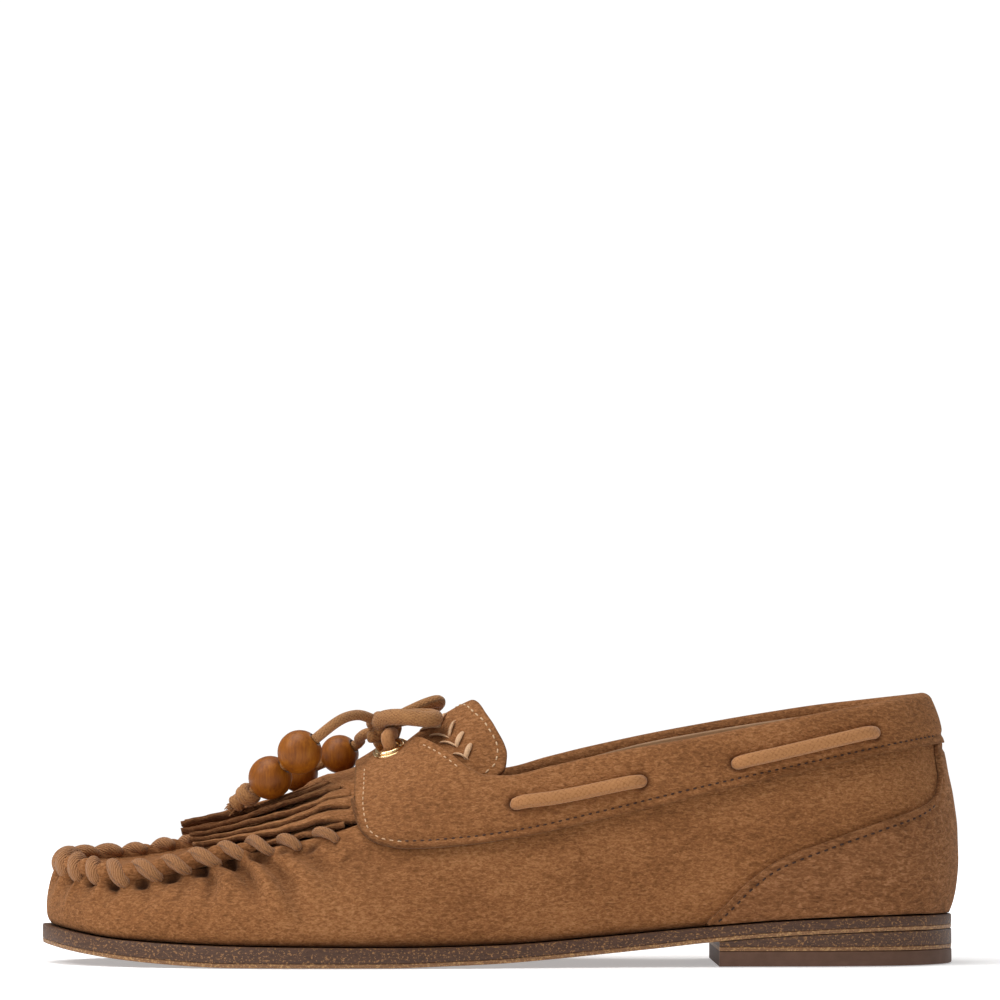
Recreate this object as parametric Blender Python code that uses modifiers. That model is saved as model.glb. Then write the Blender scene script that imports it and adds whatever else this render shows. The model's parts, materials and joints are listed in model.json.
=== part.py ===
"""A woman's left moccasin: whip-stitched toe plug, kiltie fringe, laced collar and stacked heel.

Sizes are in millimetres and are turned into metres where a mesh is made. The toe points to -X,
the heel to +X, the outer (lateral) side to -Y and up is +Z. The sole rests on Z = 0.

Every layer of the upper is laid on one reference surface. It is a ring of ribs, one for each row of
RIBS, that rise from the sole's edge: u counts the rows round the shoe (0 at the heel, 13 at the
toe, 26 back at the heel), and v runs up a rib from 0 at the sole to 1 at the ridge or ankle.
"""
import math

import bmesh
import bpy
import numpy as np
from mathutils import Matrix, Vector

MM = 0.001
GAP = 0.3

# Rows round the shoe: sole edge (x, y); the rib's lower pull outward and up; its upper pull; its top.
TOE_ROW = 13
ROWS = 26
RIBS = [
    ((128.7, 0.0), (7.0, 16.0), (127.0, 0.0, 58.0), (118.0, 0.0, 88.0)),
    ((124.5, -14.5), (6.0, 16.0), (120.5, -13.0, 58.0), (112.5, -8.5, 88.0)),
    ((112.5, -26.0), (5.0, 16.0), (109.0, -23.5, 57.0), (102.0, -15.0, 87.0)),
    ((92.0, -31.0), (5.0, 17.0), (91.0, -29.5, 55.0), (86.0, -21.0, 86.0)),
    ((66.0, -32.5), (5.0, 17.0), (65.0, -33.0, 52.0), (61.0, -25.0, 84.0)),
    ((38.0, -34.5), (5.0, 18.0), (37.0, -35.0, 50.0), (33.0, -25.0, 82.0)),
    ((13.0, -38.5), (5.0, 20.0), (11.0, -38.0, 58.0), (4.0, 0.0, 88.0)),
    ((-11.0, -42.5), (6.0, 24.0), (-10.0, -22.0, 77.0), (-8.0, 0.0, 79.5)),
    ((-36.0, -45.5), (6.0, 24.0), (-35.0, -17.0, 58.8), (-35.0, 0.5, 59.3)),
    ((-62.0, -45.5), (5.5, 18.0), (-62.0, -18.0, 44.5), (-62.0, 4.0, 45.0)),
    ((-88.0, -39.5), (6.0, 13.0), (-88.0, -15.0, 36.0), (-86.0, 7.0, 38.0)),
    ((-109.0, -29.5), (6.0, 12.0), (-107.0, -11.0, 33.5), (-99.0, 7.0, 35.8)),
    ((-124.0, -14.0), (6.0, 12.0), (-113.5, -2.0, 34.4), (-106.0, 6.8, 35.0)),
    ((-131.0, 5.0), (6.0, 12.0), (-116.5, 5.5, 35.4), (-108.0, 6.5, 34.8)),
    ((-125.5, 22.5), (6.0, 12.0), (-113.5, 14.0, 35.4), (-106.0, 6.8, 35.0)),
    ((-111.0, 33.5), (6.0, 13.0), (-107.0, 22.0, 35.6), (-99.0, 7.0, 35.8)),
    ((-89.0, 40.5), (6.0, 15.0), (-88.0, 24.0, 38.6), (-86.0, 7.0, 38.0)),
    ((-63.0, 43.5), (5.5, 20.0), (-62.0, 24.0, 45.4), (-62.0, 4.0, 45.0)),
    ((-37.0, 42.0), (6.0, 26.0), (-35.0, 18.0, 59.5), (-35.0, 0.5, 59.3)),
    ((-12.0, 37.5), (7.0, 26.0), (-10.0, 22.0, 77.4), (-8.0, 0.0, 79.5)),
    ((12.0, 32.0), (8.0, 22.0), (11.0, 35.0, 59.0), (4.0, 0.0, 88.0)),
    ((37.0, 28.0), (8.0, 20.0), (37.0, 32.0, 52.0), (33.0, 24.0, 84.0)),
    ((66.0, 28.5), (6.0, 19.0), (65.0, 32.0, 53.0), (61.0, 25.0, 86.0)),
    ((92.0, 30.5), (5.0, 17.0), (91.0, 29.5, 55.5), (86.0, 21.0, 87.0)),
    ((112.5, 26.5), (5.0, 16.0), (109.0, 24.0, 57.5), (102.0, 15.0, 88.0)),
    ((124.5, 15.0), (6.0, 16.0), (120.5, 13.5, 58.5), (112.5, 8.5, 88.0)),
]

# Heights along the shoe as (x, z), toe to heel.
SOLE_TOP = [(-131, 10.9), (-105, 7.2), (-71, 5.8), (-28, 5.5), (0, 6.1), (29, 8.3), (57, 10.8),
            (86, 12.8), (115, 13.8), (129, 13.9)]
SOLE_BOTTOM = [(-131, 5.6), (-118, 3.4), (-105, 1.8), (-88, 0.5), (-75, 0.0), (-30, 0.0), (-14, 0.5),
               (0, 1.1), (14, 2.2), (29, 3.6), (43, 5.0), (61, 6.9), (86, 8.7), (115, 9.7), (129, 9.8)]
WELT = 2.2
SOLE_BEVEL = 1.2
HEEL_BREAST_X = 61.0
TOP_PIECE_HEIGHT = 4.2
SHANK_SPAN = (2.0, 80.0)
SHANK_WIDTH = 12.0
FILLER_REAR_X = -6.0
LASTING_WIDTH = 9.0

# Lines on the upper as (x, z), each a lateral and a medial list.
SEAM = ([(-124, 28.2), (-117, 26.2), (-105, 24.8), (-95, 26.0), (-85, 28.2), (-72, 31.4), (-60, 34.0),
         (-50, 36.6), (-44, 38.4)],
        [(-124, 28.2), (-117, 28.4), (-105, 29.2), (-95, 30.8), (-85, 32.6), (-72, 35.0), (-60, 37.5),
         (-50, 40.2), (-44, 42.0)])
WRAP_TOP = (SEAM[0] + [(-36, 41.0), (-25, 43.0), (-10, 42.6), (3, 42.4), (42, 49.6), (66, 54.0),
                       (109, 63.2), (126, 66.5)],
            SEAM[1] + [(-36, 44.0), (-25, 45.5), (-10, 44.5), (3, 43.5), (42, 51.0), (66, 55.4),
                       (109, 64.0), (126, 66.5)])
BAND_BOTTOM = ([(-40.4, 45.0), (-39.4, 39.6), (-37.6, 36.2), (-33.5, 33.6), (-26, 32.4), (-8, 33.6),
                (9, 36.2), (29, 40.7), (57, 47.5), (86, 54.0), (115, 60.2), (127, 62.3)],
               [(-40.4, 47.0), (-39.4, 41.6), (-37.6, 38.2), (-33.5, 35.6), (-26, 34.4), (-8, 35.6),
                (9, 38.2), (29, 42.4), (57, 49.0), (86, 55.2), (115, 60.6), (127, 62.3)])
TOPLINE = ([(-40.4, 56.0), (-33, 60.6), (-28, 62.3), (-22, 63.0), (-18.5, 61.6), (-14, 58.8),
            (-8.4, 54.8), (-3.5, 53.3), (2, 53.3), (14, 55.8), (26, 58.6), (59, 64.6), (92, 71.2),
            (108, 74.1), (122, 77.0)],
           [(-40.4, 56.4), (-33, 61.0), (-28, 62.7), (-22, 63.6), (-18.5, 62.4), (-14, 59.9),
            (-8.4, 56.4), (-3.5, 55.2), (2, 55.7), (14, 58.8), (26, 61.8), (59, 68.4), (92, 73.8),
            (108, 75.6), (122, 77.0)])
LACE_LINE = ([(-36, 59.5), (-30.5, 59.5), (-18, 54.0), (-10, 50.6), (-3, 47.8), (2.4, 45.4), (42.5, 52.7),
              (66, 57.0), (109, 66.4), (126, 69.6)],
             [(-36, 60.0), (-30.5, 60.0), (-18, 55.0), (-10, 52.0), (-3, 49.2), (2.4, 46.8), (42.5, 54.3),
              (66, 58.8), (109, 67.2), (126, 69.6)])
FOXING_EDGE = [(57.5, 12.4), (62.6, 17.0), (69, 23.4), (77.4, 29.3), (92, 35.0), (106, 39.8),
               (117, 43.6), (122.5, 47.0), (124.4, 53.0), (125.6, 61.6)]
HIGHEST_V = 0.955

# Layer offsets from the reference surface, outer face then thickness.
BAND = (1.8, 1.3)
FOXING = (1.6, 1.1)
WRAP = (0.0, 1.4)
KILTIE = (2.0, 1.5)
TONGUE = (-3.6, 1.2)
LINING = (-2.0, 0.7)
COUNTER = (-2.0, 1.0)
HEEL_LINING_OFFSET = -3.4
GRIP = (-4.6, 0.8)
COLLAR_FOAM = (-0.2, 3.9)
COLLAR_LINING = (-4.7, 0.7)

# Laces, beads and eyelets.
LACE_RADIUS = 1.5
HIDDEN_LACE_RADIUS = 0.95
HIDDEN_LACE_OFFSET = -1.0
OUTSIDE_LACE_OFFSET = 3.6
SLOTS_X = (4.6, 39.0, 66.6, 103.6)
SLOT_SIZE = (8.4, 4.8, 6.0)
EYELET_X = -30.5
EYELET_HOLE_RADIUS = 3.0
BOW_RADIUS = 1.9
WHIP_RADIUS = 1.2
WHIP_STITCHES = 24
WHIP_REACH = 2.3
FRONT_BEAD_RADIUS = 6.3
REAR_BEAD_RADIUS = 5.6
BEAD_BORE = 2.5
BOW_CENTRE = (-32.6, 0.0, 65.4)
LATERAL_END = [(-37.0, -4.0, 69.3), (-40.0, -7.4, 70.2), (-43.4, -11.2, 69.6), (-46.6, -14.6, 67.8)]
LATERAL_BEADS = [(-56.7, -13.6, 59.6), (-65.3, -8.0, 52.4)]
LATERAL_KNOT = (-71.8, -4.4, 47.4)
MEDIAL_END = [(-38.6, 4.0, 65.0), (-40.6, 8.4, 63.6)]
MEDIAL_BEADS = [(-46.4, 13.2, 59.2), (-58.2, 16.4, 53.6)]
MEDIAL_KNOT = (-67.2, 15.2, 49.8)
LATERAL_LOOP = [(-30.2, -4.8, 68.8), (-26.0, -7.0, 69.6), (-22.0, -8.2, 69.8), (-19.2, -10.0, 69.6),
                (-18.4, -12.6, 69.2), (-20.0, -14.8, 68.8), (-24.0, -15.4, 69.2), (-28.5, -13.6, 69.6),
                (-32.2, -10.0, 69.4), (-34.2, -6.9, 68.4)]
MEDIAL_LOOP = [(-30.0, 5.0, 69.4), (-26.0, 6.6, 71.4), (-21.6, 8.4, 73.4), (-18.4, 10.6, 74.4),
               (-17.6, 13.2, 74.0), (-19.6, 15.2, 72.4), (-24.0, 14.6, 71.2), (-28.6, 12.2, 70.4),
               (-32.8, 9.4, 69.4), (-35.0, 6.4, 68.4)]

SUEDE = (0.38, 0.19, 0.085)
COLOURS = {
    "suede": (SUEDE, 0.95, 0.0),
    "sole_leather": ((0.11, 0.055, 0.03), 0.7, 0.0),
    "rubber": ((0.14, 0.08, 0.055), 0.6, 0.0),
    "board": ((0.45, 0.36, 0.25), 0.9, 0.0),
    "foam": ((0.75, 0.7, 0.6), 0.95, 0.0),
    "lining": ((0.55, 0.38, 0.24), 0.85, 0.0),
    "steel": ((0.6, 0.6, 0.6), 0.35, 1.0),
    "gold": ((0.86, 0.68, 0.42), 0.25, 1.0),
    "cord": ((0.34, 0.18, 0.09), 0.9, 0.0),
    "wood": ((0.42, 0.16, 0.04), 0.35, 0.0),
}

PARTS = None
CUTTERS = None


def clear_scene():
    """Remove every object that the scene starts with, and make the two collections."""
    global PARTS, CUTTERS
    for item in list(bpy.data.objects):
        bpy.data.objects.remove(item, do_unlink=True)
    PARTS = bpy.data.collections.new("moccasin")
    CUTTERS = bpy.data.collections.new("cutters")
    for collection in (PARTS, CUTTERS):
        bpy.context.scene.collection.children.link(collection)


def material(name):
    """The Principled material of this name, made the first time it is asked for."""
    found = bpy.data.materials.get(name)
    if found:
        return found
    colour, roughness, metallic = COLOURS[name]
    made = bpy.data.materials.new(name)
    made.use_nodes = True
    shader = made.node_tree.nodes["Principled BSDF"]
    shader.inputs["Base Color"].default_value = (*colour, 1.0)
    shader.inputs["Roughness"].default_value = roughness
    shader.inputs["Metallic"].default_value = metallic
    return made


# ---------------------------------------------------------------- smooth curves

def closed_curve(keys, u):
    """Point at u on a smooth closed curve that passes through key k at u = k."""
    keys = np.asarray(keys, float)
    u = np.asarray(u, float)
    k = np.floor(u).astype(int)
    t = (u - k)[..., None]
    before, here, after, beyond = (keys[(k + step) % len(keys)] for step in (-1, 0, 1, 2))
    bend = 2 * before - 5 * here + 4 * after - beyond
    twist = 3 * (here - after) + beyond - before
    return here + 0.5 * t * (after - before + t * (bend + t * twist))


def smooth(keys, x):
    """Height at x on a smooth line through (x, height) keys that doesn't overshoot them."""
    xs, heights = np.array(keys, float).T
    x = np.clip(x, xs[0], xs[-1])
    step = np.diff(xs)
    rise = np.diff(heights) / step
    same_way = rise[1:] * rise[:-1] > 0
    total = np.where(same_way, rise[1:] + rise[:-1], 1.0)
    inner = np.where(same_way, 2 * rise[1:] * rise[:-1] / total, 0.0)
    slope = np.concatenate([rise[:1], inner, rise[-1:]])
    k = np.clip(np.searchsorted(xs, x) - 1, 0, len(xs) - 2)
    t = (x - xs[k]) / step[k]
    start = (1 + 2 * t) * (1 - t) ** 2 * heights[k] + t * (1 - t) ** 2 * step[k] * slope[k]
    end = t * t * (3 - 2 * t) * heights[k + 1] + t * t * (t - 1) * step[k] * slope[k + 1]
    return start + end


# ---------------------------------------------------------------- the reference surface

EDGE_KEYS = [rib[0] for rib in RIBS]
PULL_KEYS = [rib[1] for rib in RIBS]
UPPER_KEYS = [rib[2] for rib in RIBS]
TOP_KEYS = [rib[3] for rib in RIBS]


def sole_edge(u, inset=0.0):
    """Plan point (x, y) on the sole's outline, moved inward by inset, and the outward direction."""
    step = 0.01
    along = closed_curve(EDGE_KEYS, u + step) - closed_curve(EDGE_KEYS, u - step)
    along /= np.linalg.norm(along, axis=-1, keepdims=True)
    outward = np.stack([-along[..., 1], along[..., 0]], axis=-1)
    return closed_curve(EDGE_KEYS, u) - outward * inset, outward


def rib_point(u, v):
    """Point on the reference surface."""
    u, v = np.broadcast_arrays(np.asarray(u, float), np.asarray(v, float))
    foot, outward = sole_edge(u, WELT)
    foot_z = smooth(SOLE_TOP, foot[..., 0]) + GAP
    pull = closed_curve(PULL_KEYS, u)
    foot = np.concatenate([foot, foot_z[..., None]], axis=-1)
    outward = np.concatenate([outward * pull[..., :1], pull[..., 1:]], axis=-1)
    lower = foot + outward
    upper = closed_curve(UPPER_KEYS, u)
    top = closed_curve(TOP_KEYS, u)
    v = v[..., None]
    w = 1.0 - v
    return w ** 3 * foot + 3 * w * w * v * lower + 3 * w * v * v * upper + v ** 3 * top


def rib_normal(u, v):
    """Outward direction of the reference surface; both sides agree along the ridge."""
    step = 0.004

    def one_side(u, v):
        v = np.minimum(v, 0.985)
        along = rib_point(u + step, v) - rib_point(u - step, v)
        up = rib_point(u, v + step) - rib_point(u, v - step)
        normal = np.cross(up, along)
        return normal / np.linalg.norm(normal, axis=-1, keepdims=True)

    u, v = np.broadcast_arrays(np.asarray(u, float), np.asarray(v, float))
    normal = one_side(u, v)
    share = np.clip((v - 0.9) / 0.1, 0.0, 1.0)[..., None] * 0.5
    normal = normal * (1 - share) + one_side(ROWS - u, v) * share
    return normal / np.linalg.norm(normal, axis=-1, keepdims=True)


def surface(u, v, offset=0.0):
    """Point on the reference surface moved out along its normal by offset."""
    u, v, offset = np.broadcast_arrays(np.asarray(u, float), v, offset)
    return rib_point(u, v) + rib_normal(u, v) * offset[..., None]


def line_z(line, u, x):
    """Height of a line on the upper at x, on the side of the shoe where u is."""
    medial = np.mod(u, ROWS) > TOE_ROW
    return np.where(medial, smooth(line[1], x), smooth(line[0], x))


def v_at(u, line, shift=0.0):
    """How far up each rib a line crosses it; shift moves the line up in millimetres."""
    u = np.asarray(u, float)
    low = np.zeros_like(u)
    high = np.full_like(u, HIGHEST_V)
    for _ in range(28):
        middle = (low + high) / 2
        point = rib_point(u, middle)
        under = point[..., 2] < line_z(line, u, point[..., 0]) + shift
        low = np.where(under, middle, low)
        high = np.where(under, high, middle)
    return (low + high) / 2


def v_at_height(u, above_sole):
    """How far up each rib the surface is this much above the sole."""
    flat = [(x, z + above_sole) for x, z in SOLE_TOP]
    return v_at(u, (flat, flat))


def rib_where(medial, x, line):
    """The u of the rib that a line crosses at x, on the lateral or the medial side."""
    rows = np.linspace(0.0, 9.5, 191)
    rows = ROWS - rows if medial else rows
    crossing_x = rib_point(rows, v_at(rows, line))[:, 0]
    return np.interp(x, crossing_x[::-1], rows[::-1])


def up_the_rib(u, v, distance):
    """The v that lies this many millimetres further up the rib."""
    step = 0.01
    speed = np.linalg.norm(rib_point(u, v + step) - rib_point(u, v - step), axis=-1) / (2 * step)
    return v + distance / speed


# ---------------------------------------------------------------- making objects

def finish(name, mesh, material_name):
    """Link a mesh or curve as a named object with its material."""
    made = bpy.data.objects.new(name, mesh)
    mesh.materials.append(material(material_name))
    PARTS.objects.link(made)
    return made


def mesh_from(name, points, faces, solid=False):
    """A mesh from points in millimetres; solid turns the faces of a closed body outward."""
    mesh = bpy.data.meshes.new(name)
    shape = bmesh.new()
    verts = [shape.verts.new(Vector(point) * MM) for point in points]
    for face in faces:
        shape.faces.new([verts[k] for k in face])
    bmesh.ops.remove_doubles(shape, verts=shape.verts, dist=0.00002)
    if solid:
        bmesh.ops.recalc_face_normals(shape, faces=shape.faces)
    shape.to_mesh(mesh)
    shape.free()
    return mesh


def sheet(name, grid, thickness, material_name, skip=()):
    """A skin laid through a grid of points and thickened inward; skip lists cells left open."""
    columns, rows = grid.shape[:2]
    faces = []
    for i in range(columns - 1):
        for j in range(rows - 1):
            if (i, j) not in skip:
                a = i * rows + j
                faces.append((a, a + 1, a + rows + 1, a + rows))
    used = sorted({k for face in faces for k in face})
    place = {k: n for n, k in enumerate(used)}
    points = grid.reshape(-1, 3)[used]
    mesh = mesh_from(name, points, [[place[k] for k in face] for face in faces])
    made = finish(name, mesh, material_name)
    solidify = made.modifiers.new("thickness", "SOLIDIFY")
    solidify.thickness = thickness * MM
    solidify.offset = -1.0
    mesh.shade_smooth()
    return made


def panel(name, rows_u, low, high, count, layer, material_name):
    """A panel of the upper between two lines: count steps up each of the ribs in rows_u."""
    offset, thickness = layer
    share = np.linspace(0.0, 1.0, count + 1)
    v = low[:, None] + (high - low)[:, None] * share
    offsets = np.broadcast_to(np.reshape(offset, (-1, 1)), v.shape)
    return sheet(name, surface(rows_u[:, None], v, offsets), thickness, material_name)


def slab(name, inset, rings, material_name, lateral_rows, medial_rows):
    """A flat piece of the bottom: rings of the sole's outline, from the top ring to the lowest."""
    sides = []
    for extra, height in rings:
        pair = [sole_edge(rows, inset + extra)[0] for rows in (lateral_rows, medial_rows)]
        sides.append([np.column_stack([plan, height(plan[:, 0])]) for plan in pair])
    count = len(lateral_rows)
    points = np.concatenate([side for pair in sides for side in pair])
    faces = []
    last = len(rings) - 1
    for i in range(count - 1):
        for ring, order in ((0, 1), (last, -1)):
            base = ring * 2 * count
            faces.append((base + i, base + count + i, base + count + i + 1, base + i + 1)[::order])
        for ring in range(last):
            for side in range(2):
                a = (ring * 2 + side) * count + i
                faces.append((a, a + 1, a + 1 + 2 * count, a + 2 * count))
    for ring in range(last):
        for i in (0, count - 1):
            a = ring * 2 * count + i
            faces.append((a, a + count, a + 3 * count, a + 2 * count))
    return finish(name, slab_mesh(name, points, faces), material_name)


def slab_mesh(name, points, faces):
    """Join the slab's coinciding corners, drop the walls that close to nothing, and face it out."""
    kept = []
    for face in faces:
        corners = [points[k] for k in face]
        spread = np.cross(corners[2] - corners[0], corners[3] - corners[1])
        if np.linalg.norm(spread) > 1e-6:
            kept.append(face)
    return mesh_from(name, points, kept, solid=True)


def turned(name, profile, centre, axis, material_name, steps=14, closed=False):
    """A turned piece: a profile of (radius, height) in millimetres spun about axis at centre."""
    mesh = bpy.data.meshes.new(name)
    points = [(radius * MM, 0.0, height * MM) for radius, height in profile]
    edges = [(k, k + 1) for k in range(len(points) - 1)]
    if closed:
        edges.append((len(points) - 1, 0))
    mesh.from_pydata(points, edges, [])
    made = finish(name, mesh, material_name)
    screw = made.modifiers.new("turn", "SCREW")
    screw.steps = screw.render_steps = steps
    screw.use_merge_vertices = True
    screw.merge_threshold = 0.00001
    screw.use_normal_calculate = False
    place(made, centre, axis)
    return made


def place(made, centre, axis):
    """Put an object at centre with its own Z along axis."""
    made.rotation_mode = "QUATERNION"
    made.rotation_quaternion = Vector(axis).to_track_quat("Z", "X")
    made.location = Vector(centre) * MM


def tube(name, points, radius, material_name, radii=None, resolution=2):
    """A round cord through the points, with flat ends; radii scales single points."""
    curve = bpy.data.curves.new(name, "CURVE")
    curve.dimensions = "3D"
    curve.bevel_depth = radius * MM
    curve.bevel_resolution = resolution
    curve.use_fill_caps = True
    spline = curve.splines.new("POLY")
    spline.points.add(len(points) - 1)
    for k, point in enumerate(points):
        spline.points[k].co = (*(Vector(point) * MM), 1.0)
        spline.points[k].radius = radii[k] if radii else 1.0
    return finish(name, curve, material_name)


def cut(target, cutter):
    """Take the cutter's shape out of the target."""
    for owner in list(cutter.users_collection):
        owner.objects.unlink(cutter)
    CUTTERS.objects.link(cutter)
    cutter.hide_render = True
    cutter.display_type = "WIRE"
    modifier = target.modifiers.new("cut", "BOOLEAN")
    modifier.operation = "DIFFERENCE"
    modifier.solver = "EXACT"
    modifier.object = cutter


# ---------------------------------------------------------------- the bottom

def top_of_sole(above):
    """Height function: this much above the outsole's upper face."""
    return lambda x: smooth(SOLE_TOP, x) + above


def rows_behind(x, count):
    """Lateral and medial rows of the outline from x back to the heel."""
    sample = np.linspace(0.0, TOE_ROW, 261)
    lateral = np.interp(x, sole_edge(sample)[0][::-1, 0], sample[::-1])
    medial = np.interp(x, sole_edge(ROWS - sample)[0][::-1, 0], sample[::-1])
    share = np.linspace(1.0, 0.0, count)
    return lateral * share, ROWS - medial * share


def make_bottom():
    """Outsole, stacked heel, filler, shank, insole board, foam and sock."""
    every = np.linspace(0.0, TOE_ROW, 2 * TOE_ROW + 1)
    whole = (every, ROWS - every)
    bottom = lambda x: smooth(SOLE_BOTTOM, x)
    bevel = lambda x: bottom(x) + SOLE_BEVEL * np.clip((HEEL_BREAST_X - 1.0 - x) / 8.0, 0.0, 1.0)
    slab("outsole", 0.0, [(0.0, top_of_sole(0.0)), (0.0, bevel), (SOLE_BEVEL, bottom)],
         "sole_leather", *whole)
    heel = rows_behind(HEEL_BREAST_X, 11)
    slab("heel_lift", 0.0, [(0.0, lambda x: bottom(x) - GAP + 0.0 * x),
                            (0.0, lambda x: TOP_PIECE_HEIGHT + GAP + 0.0 * x)], "sole_leather", *heel)
    slab("heel_top_piece", 0.0, [(0.0, lambda x: TOP_PIECE_HEIGHT + 0.0 * x), (0.0, lambda x: 0.0 * x)],
         "rubber", *heel)
    stack = WRAP[1] + GAP
    slab("insole_board", 4.4, [(0.0, top_of_sole(stack + 1.9)), (0.0, top_of_sole(stack + 0.4))],
         "board", *whole)
    slab("footbed_foam", 6.6, [(0.0, top_of_sole(stack + 4.9)), (0.0, top_of_sole(stack + 2.3))],
         "foam", *whole)
    slab("sock_liner", 6.6, [(0.0, top_of_sole(stack + 6.0)), (0.0, top_of_sole(stack + 5.2))],
         "lining", *whole)
    behind = rows_behind(FILLER_REAR_X, 2)
    front = (np.linspace(behind[0][0], TOE_ROW, 12), np.linspace(behind[1][0], TOE_ROW, 12))
    slab("bottom_filler", WELT + LASTING_WIDTH + 1.0,
         [(0.0, top_of_sole(1.5)), (0.0, top_of_sole(GAP))], "board", *front)
    stations = np.linspace(SHANK_SPAN[0], SHANK_SPAN[1], 9)
    half = SHANK_WIDTH / 2
    heights = smooth(SOLE_TOP, stations) + 1.4
    grid = [[(x, side, z) for side in (half, -half)] for x, z in zip(stations, heights)]
    sheet("shank", np.array(grid), 1.0, "steel")


# ---------------------------------------------------------------- the upper

def make_wrap():
    """The one-piece vamp and quarters, turned in under the insole board."""
    rows_u = np.concatenate([[0.12], np.arange(0.5, ROWS, 0.5), [ROWS - 0.12]])
    high = v_at(rows_u, WRAP_TOP, -0.3)
    share = np.array([0.0, 0.1, 0.25, 0.5, 0.75, 1.0])
    wall = surface(rows_u[:, None], high[:, None] * share, WRAP[0])
    turn_in, _ = sole_edge(rows_u, WELT + LASTING_WIDTH)
    flange = np.column_stack([turn_in, smooth(SOLE_TOP, turn_in[:, 0]) + GAP])
    made = sheet("upper_wrap", np.concatenate([flange[:, None], wall], axis=1), WRAP[1], "suede")
    made.modifiers["thickness"].use_even_offset = True


def make_vamp():
    """The toe plug, its lining, the fringed kiltie and the tongue."""
    rows_u = np.linspace(8.28, ROWS - 8.28, 33)
    panel("plug_apron", rows_u, v_at(rows_u, SEAM, 0.35), np.ones_like(rows_u), 4, WRAP, "suede")
    rows_u = np.linspace(8.5, ROWS - 8.5, 27)
    panel("vamp_lining", rows_u, v_at_height(rows_u, 4.4), np.ones_like(rows_u), 6, LINING, "lining")
    make_kiltie()
    make_tongue()


def over_ridge(k, w, offset):
    """Point k rows behind the toe and w across the ridge, lateral below 0 and medial above."""
    u = np.where(w < 0, TOE_ROW - k, TOE_ROW + k)
    return surface(u, 1.0 - np.abs(w), offset)


def make_kiltie():
    """The fringed overlay: a solid root at the tabs that is slit into strands toward the toe."""
    strands = 13
    root, tip = 4.74, 2.84
    half_width = 0.36
    slit = 0.12
    edges = []
    for k in range(strands):
        edges += [k + slit / 2, k + 1 - slit / 2]
    across = (np.array(edges) / strands * 2 - 1) * half_width
    across = np.where(across > 0, across * 0.86, across)
    along = np.concatenate([[0.0, 0.2], np.linspace(0.32, 1.0, 7)])
    w, share = np.meshgrid(across, along, indexing="ij")
    reach = tip + 2.4 * w * w
    k = root + (reach - root) * share
    grid = over_ridge(k, w, KILTIE[0] + 0.0 * w)
    first_slit_row = 2
    skip = {(i, j) for i in range(1, len(across) - 1, 2) for j in range(first_slit_row, len(along) - 1)}
    sheet("kiltie_fringe", grid[:, ::-1], KILTIE[1], "suede", {(i, len(along) - 2 - j) for i, j in skip})


def make_tongue():
    """The tongue: sewn under the plug's rear edge and lying under both tabs to its rounded tip."""
    across = np.linspace(-1.0, 1.0, 13)
    along = np.linspace(0.0, 1.0, 9)
    w, share = np.meshgrid(across, along, indexing="ij")
    root = 4.8
    rear = 5.93 + 0.66 * np.abs(w) - 7.0 * np.clip(np.abs(w) - 0.75, 0.0, None) ** 2
    k = root + (rear - root) * share
    grid = over_ridge(k, w * 0.43, TONGUE[0] + 0.0 * w)
    sheet("tongue", grid[:, ::-1], TONGUE[1], "suede")


def make_heel_upper():
    """Foxing outside; counter, quarter linings and grip inside."""
    edge = (FOXING_EDGE, FOXING_EDGE)
    reach = rib_foot(HEEL_BREAST_X - 3.0)
    half = np.concatenate([[0.0, 0.1, 0.22, 0.35], np.arange(0.5, reach - 0.2, 0.25), [reach]])
    rows_u = np.concatenate([-half[::-1], half[1:]])
    low = v_at_height(rows_u, 1.0)
    high = np.minimum(v_at(rows_u, edge), v_at(rows_u, BAND_BOTTOM, -0.5))
    panel("heel_foxing", rows_u, low, np.maximum(high, low + 0.03), 4, FOXING, "suede")
    rows_u = np.linspace(-2.9, 2.9, 17)
    panel("heel_counter", rows_u, v_at_height(rows_u, 4.4), v_at(rows_u, BAND_BOTTOM, -9.0), 3,
          COUNTER, "board")
    panel("heel_grip", np.linspace(-2.4, 2.4, 15), v_at_height(np.linspace(-2.4, 2.4, 15), 10.0),
          v_at(np.linspace(-2.4, 2.4, 15), BAND_BOTTOM, -3.0), 4, GRIP, "lining")
    for side, start, end in (("lateral", 0.08, 8.1), ("medial", ROWS - 8.1, ROWS - 0.08)):
        rows_u = np.linspace(start, end, 25)
        from_heel = np.minimum(rows_u, ROWS - rows_u)
        step_in = np.clip((from_heel - 3.0) / 0.8, 0.0, 1.0)
        offset = HEEL_LINING_OFFSET + (LINING[0] - HEEL_LINING_OFFSET) * step_in
        panel("quarter_lining_" + side, rows_u, v_at_height(rows_u, 4.4),
              v_at(rows_u, WRAP_TOP, -1.6), 4, (offset, LINING[1]), "lining")


def rib_foot(x):
    """Row of the lateral rib whose foot is at x."""
    sample = np.linspace(0.0, TOE_ROW, 261)
    return float(np.interp(x, sole_edge(sample)[0][::-1, 0], sample[::-1]))


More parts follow.
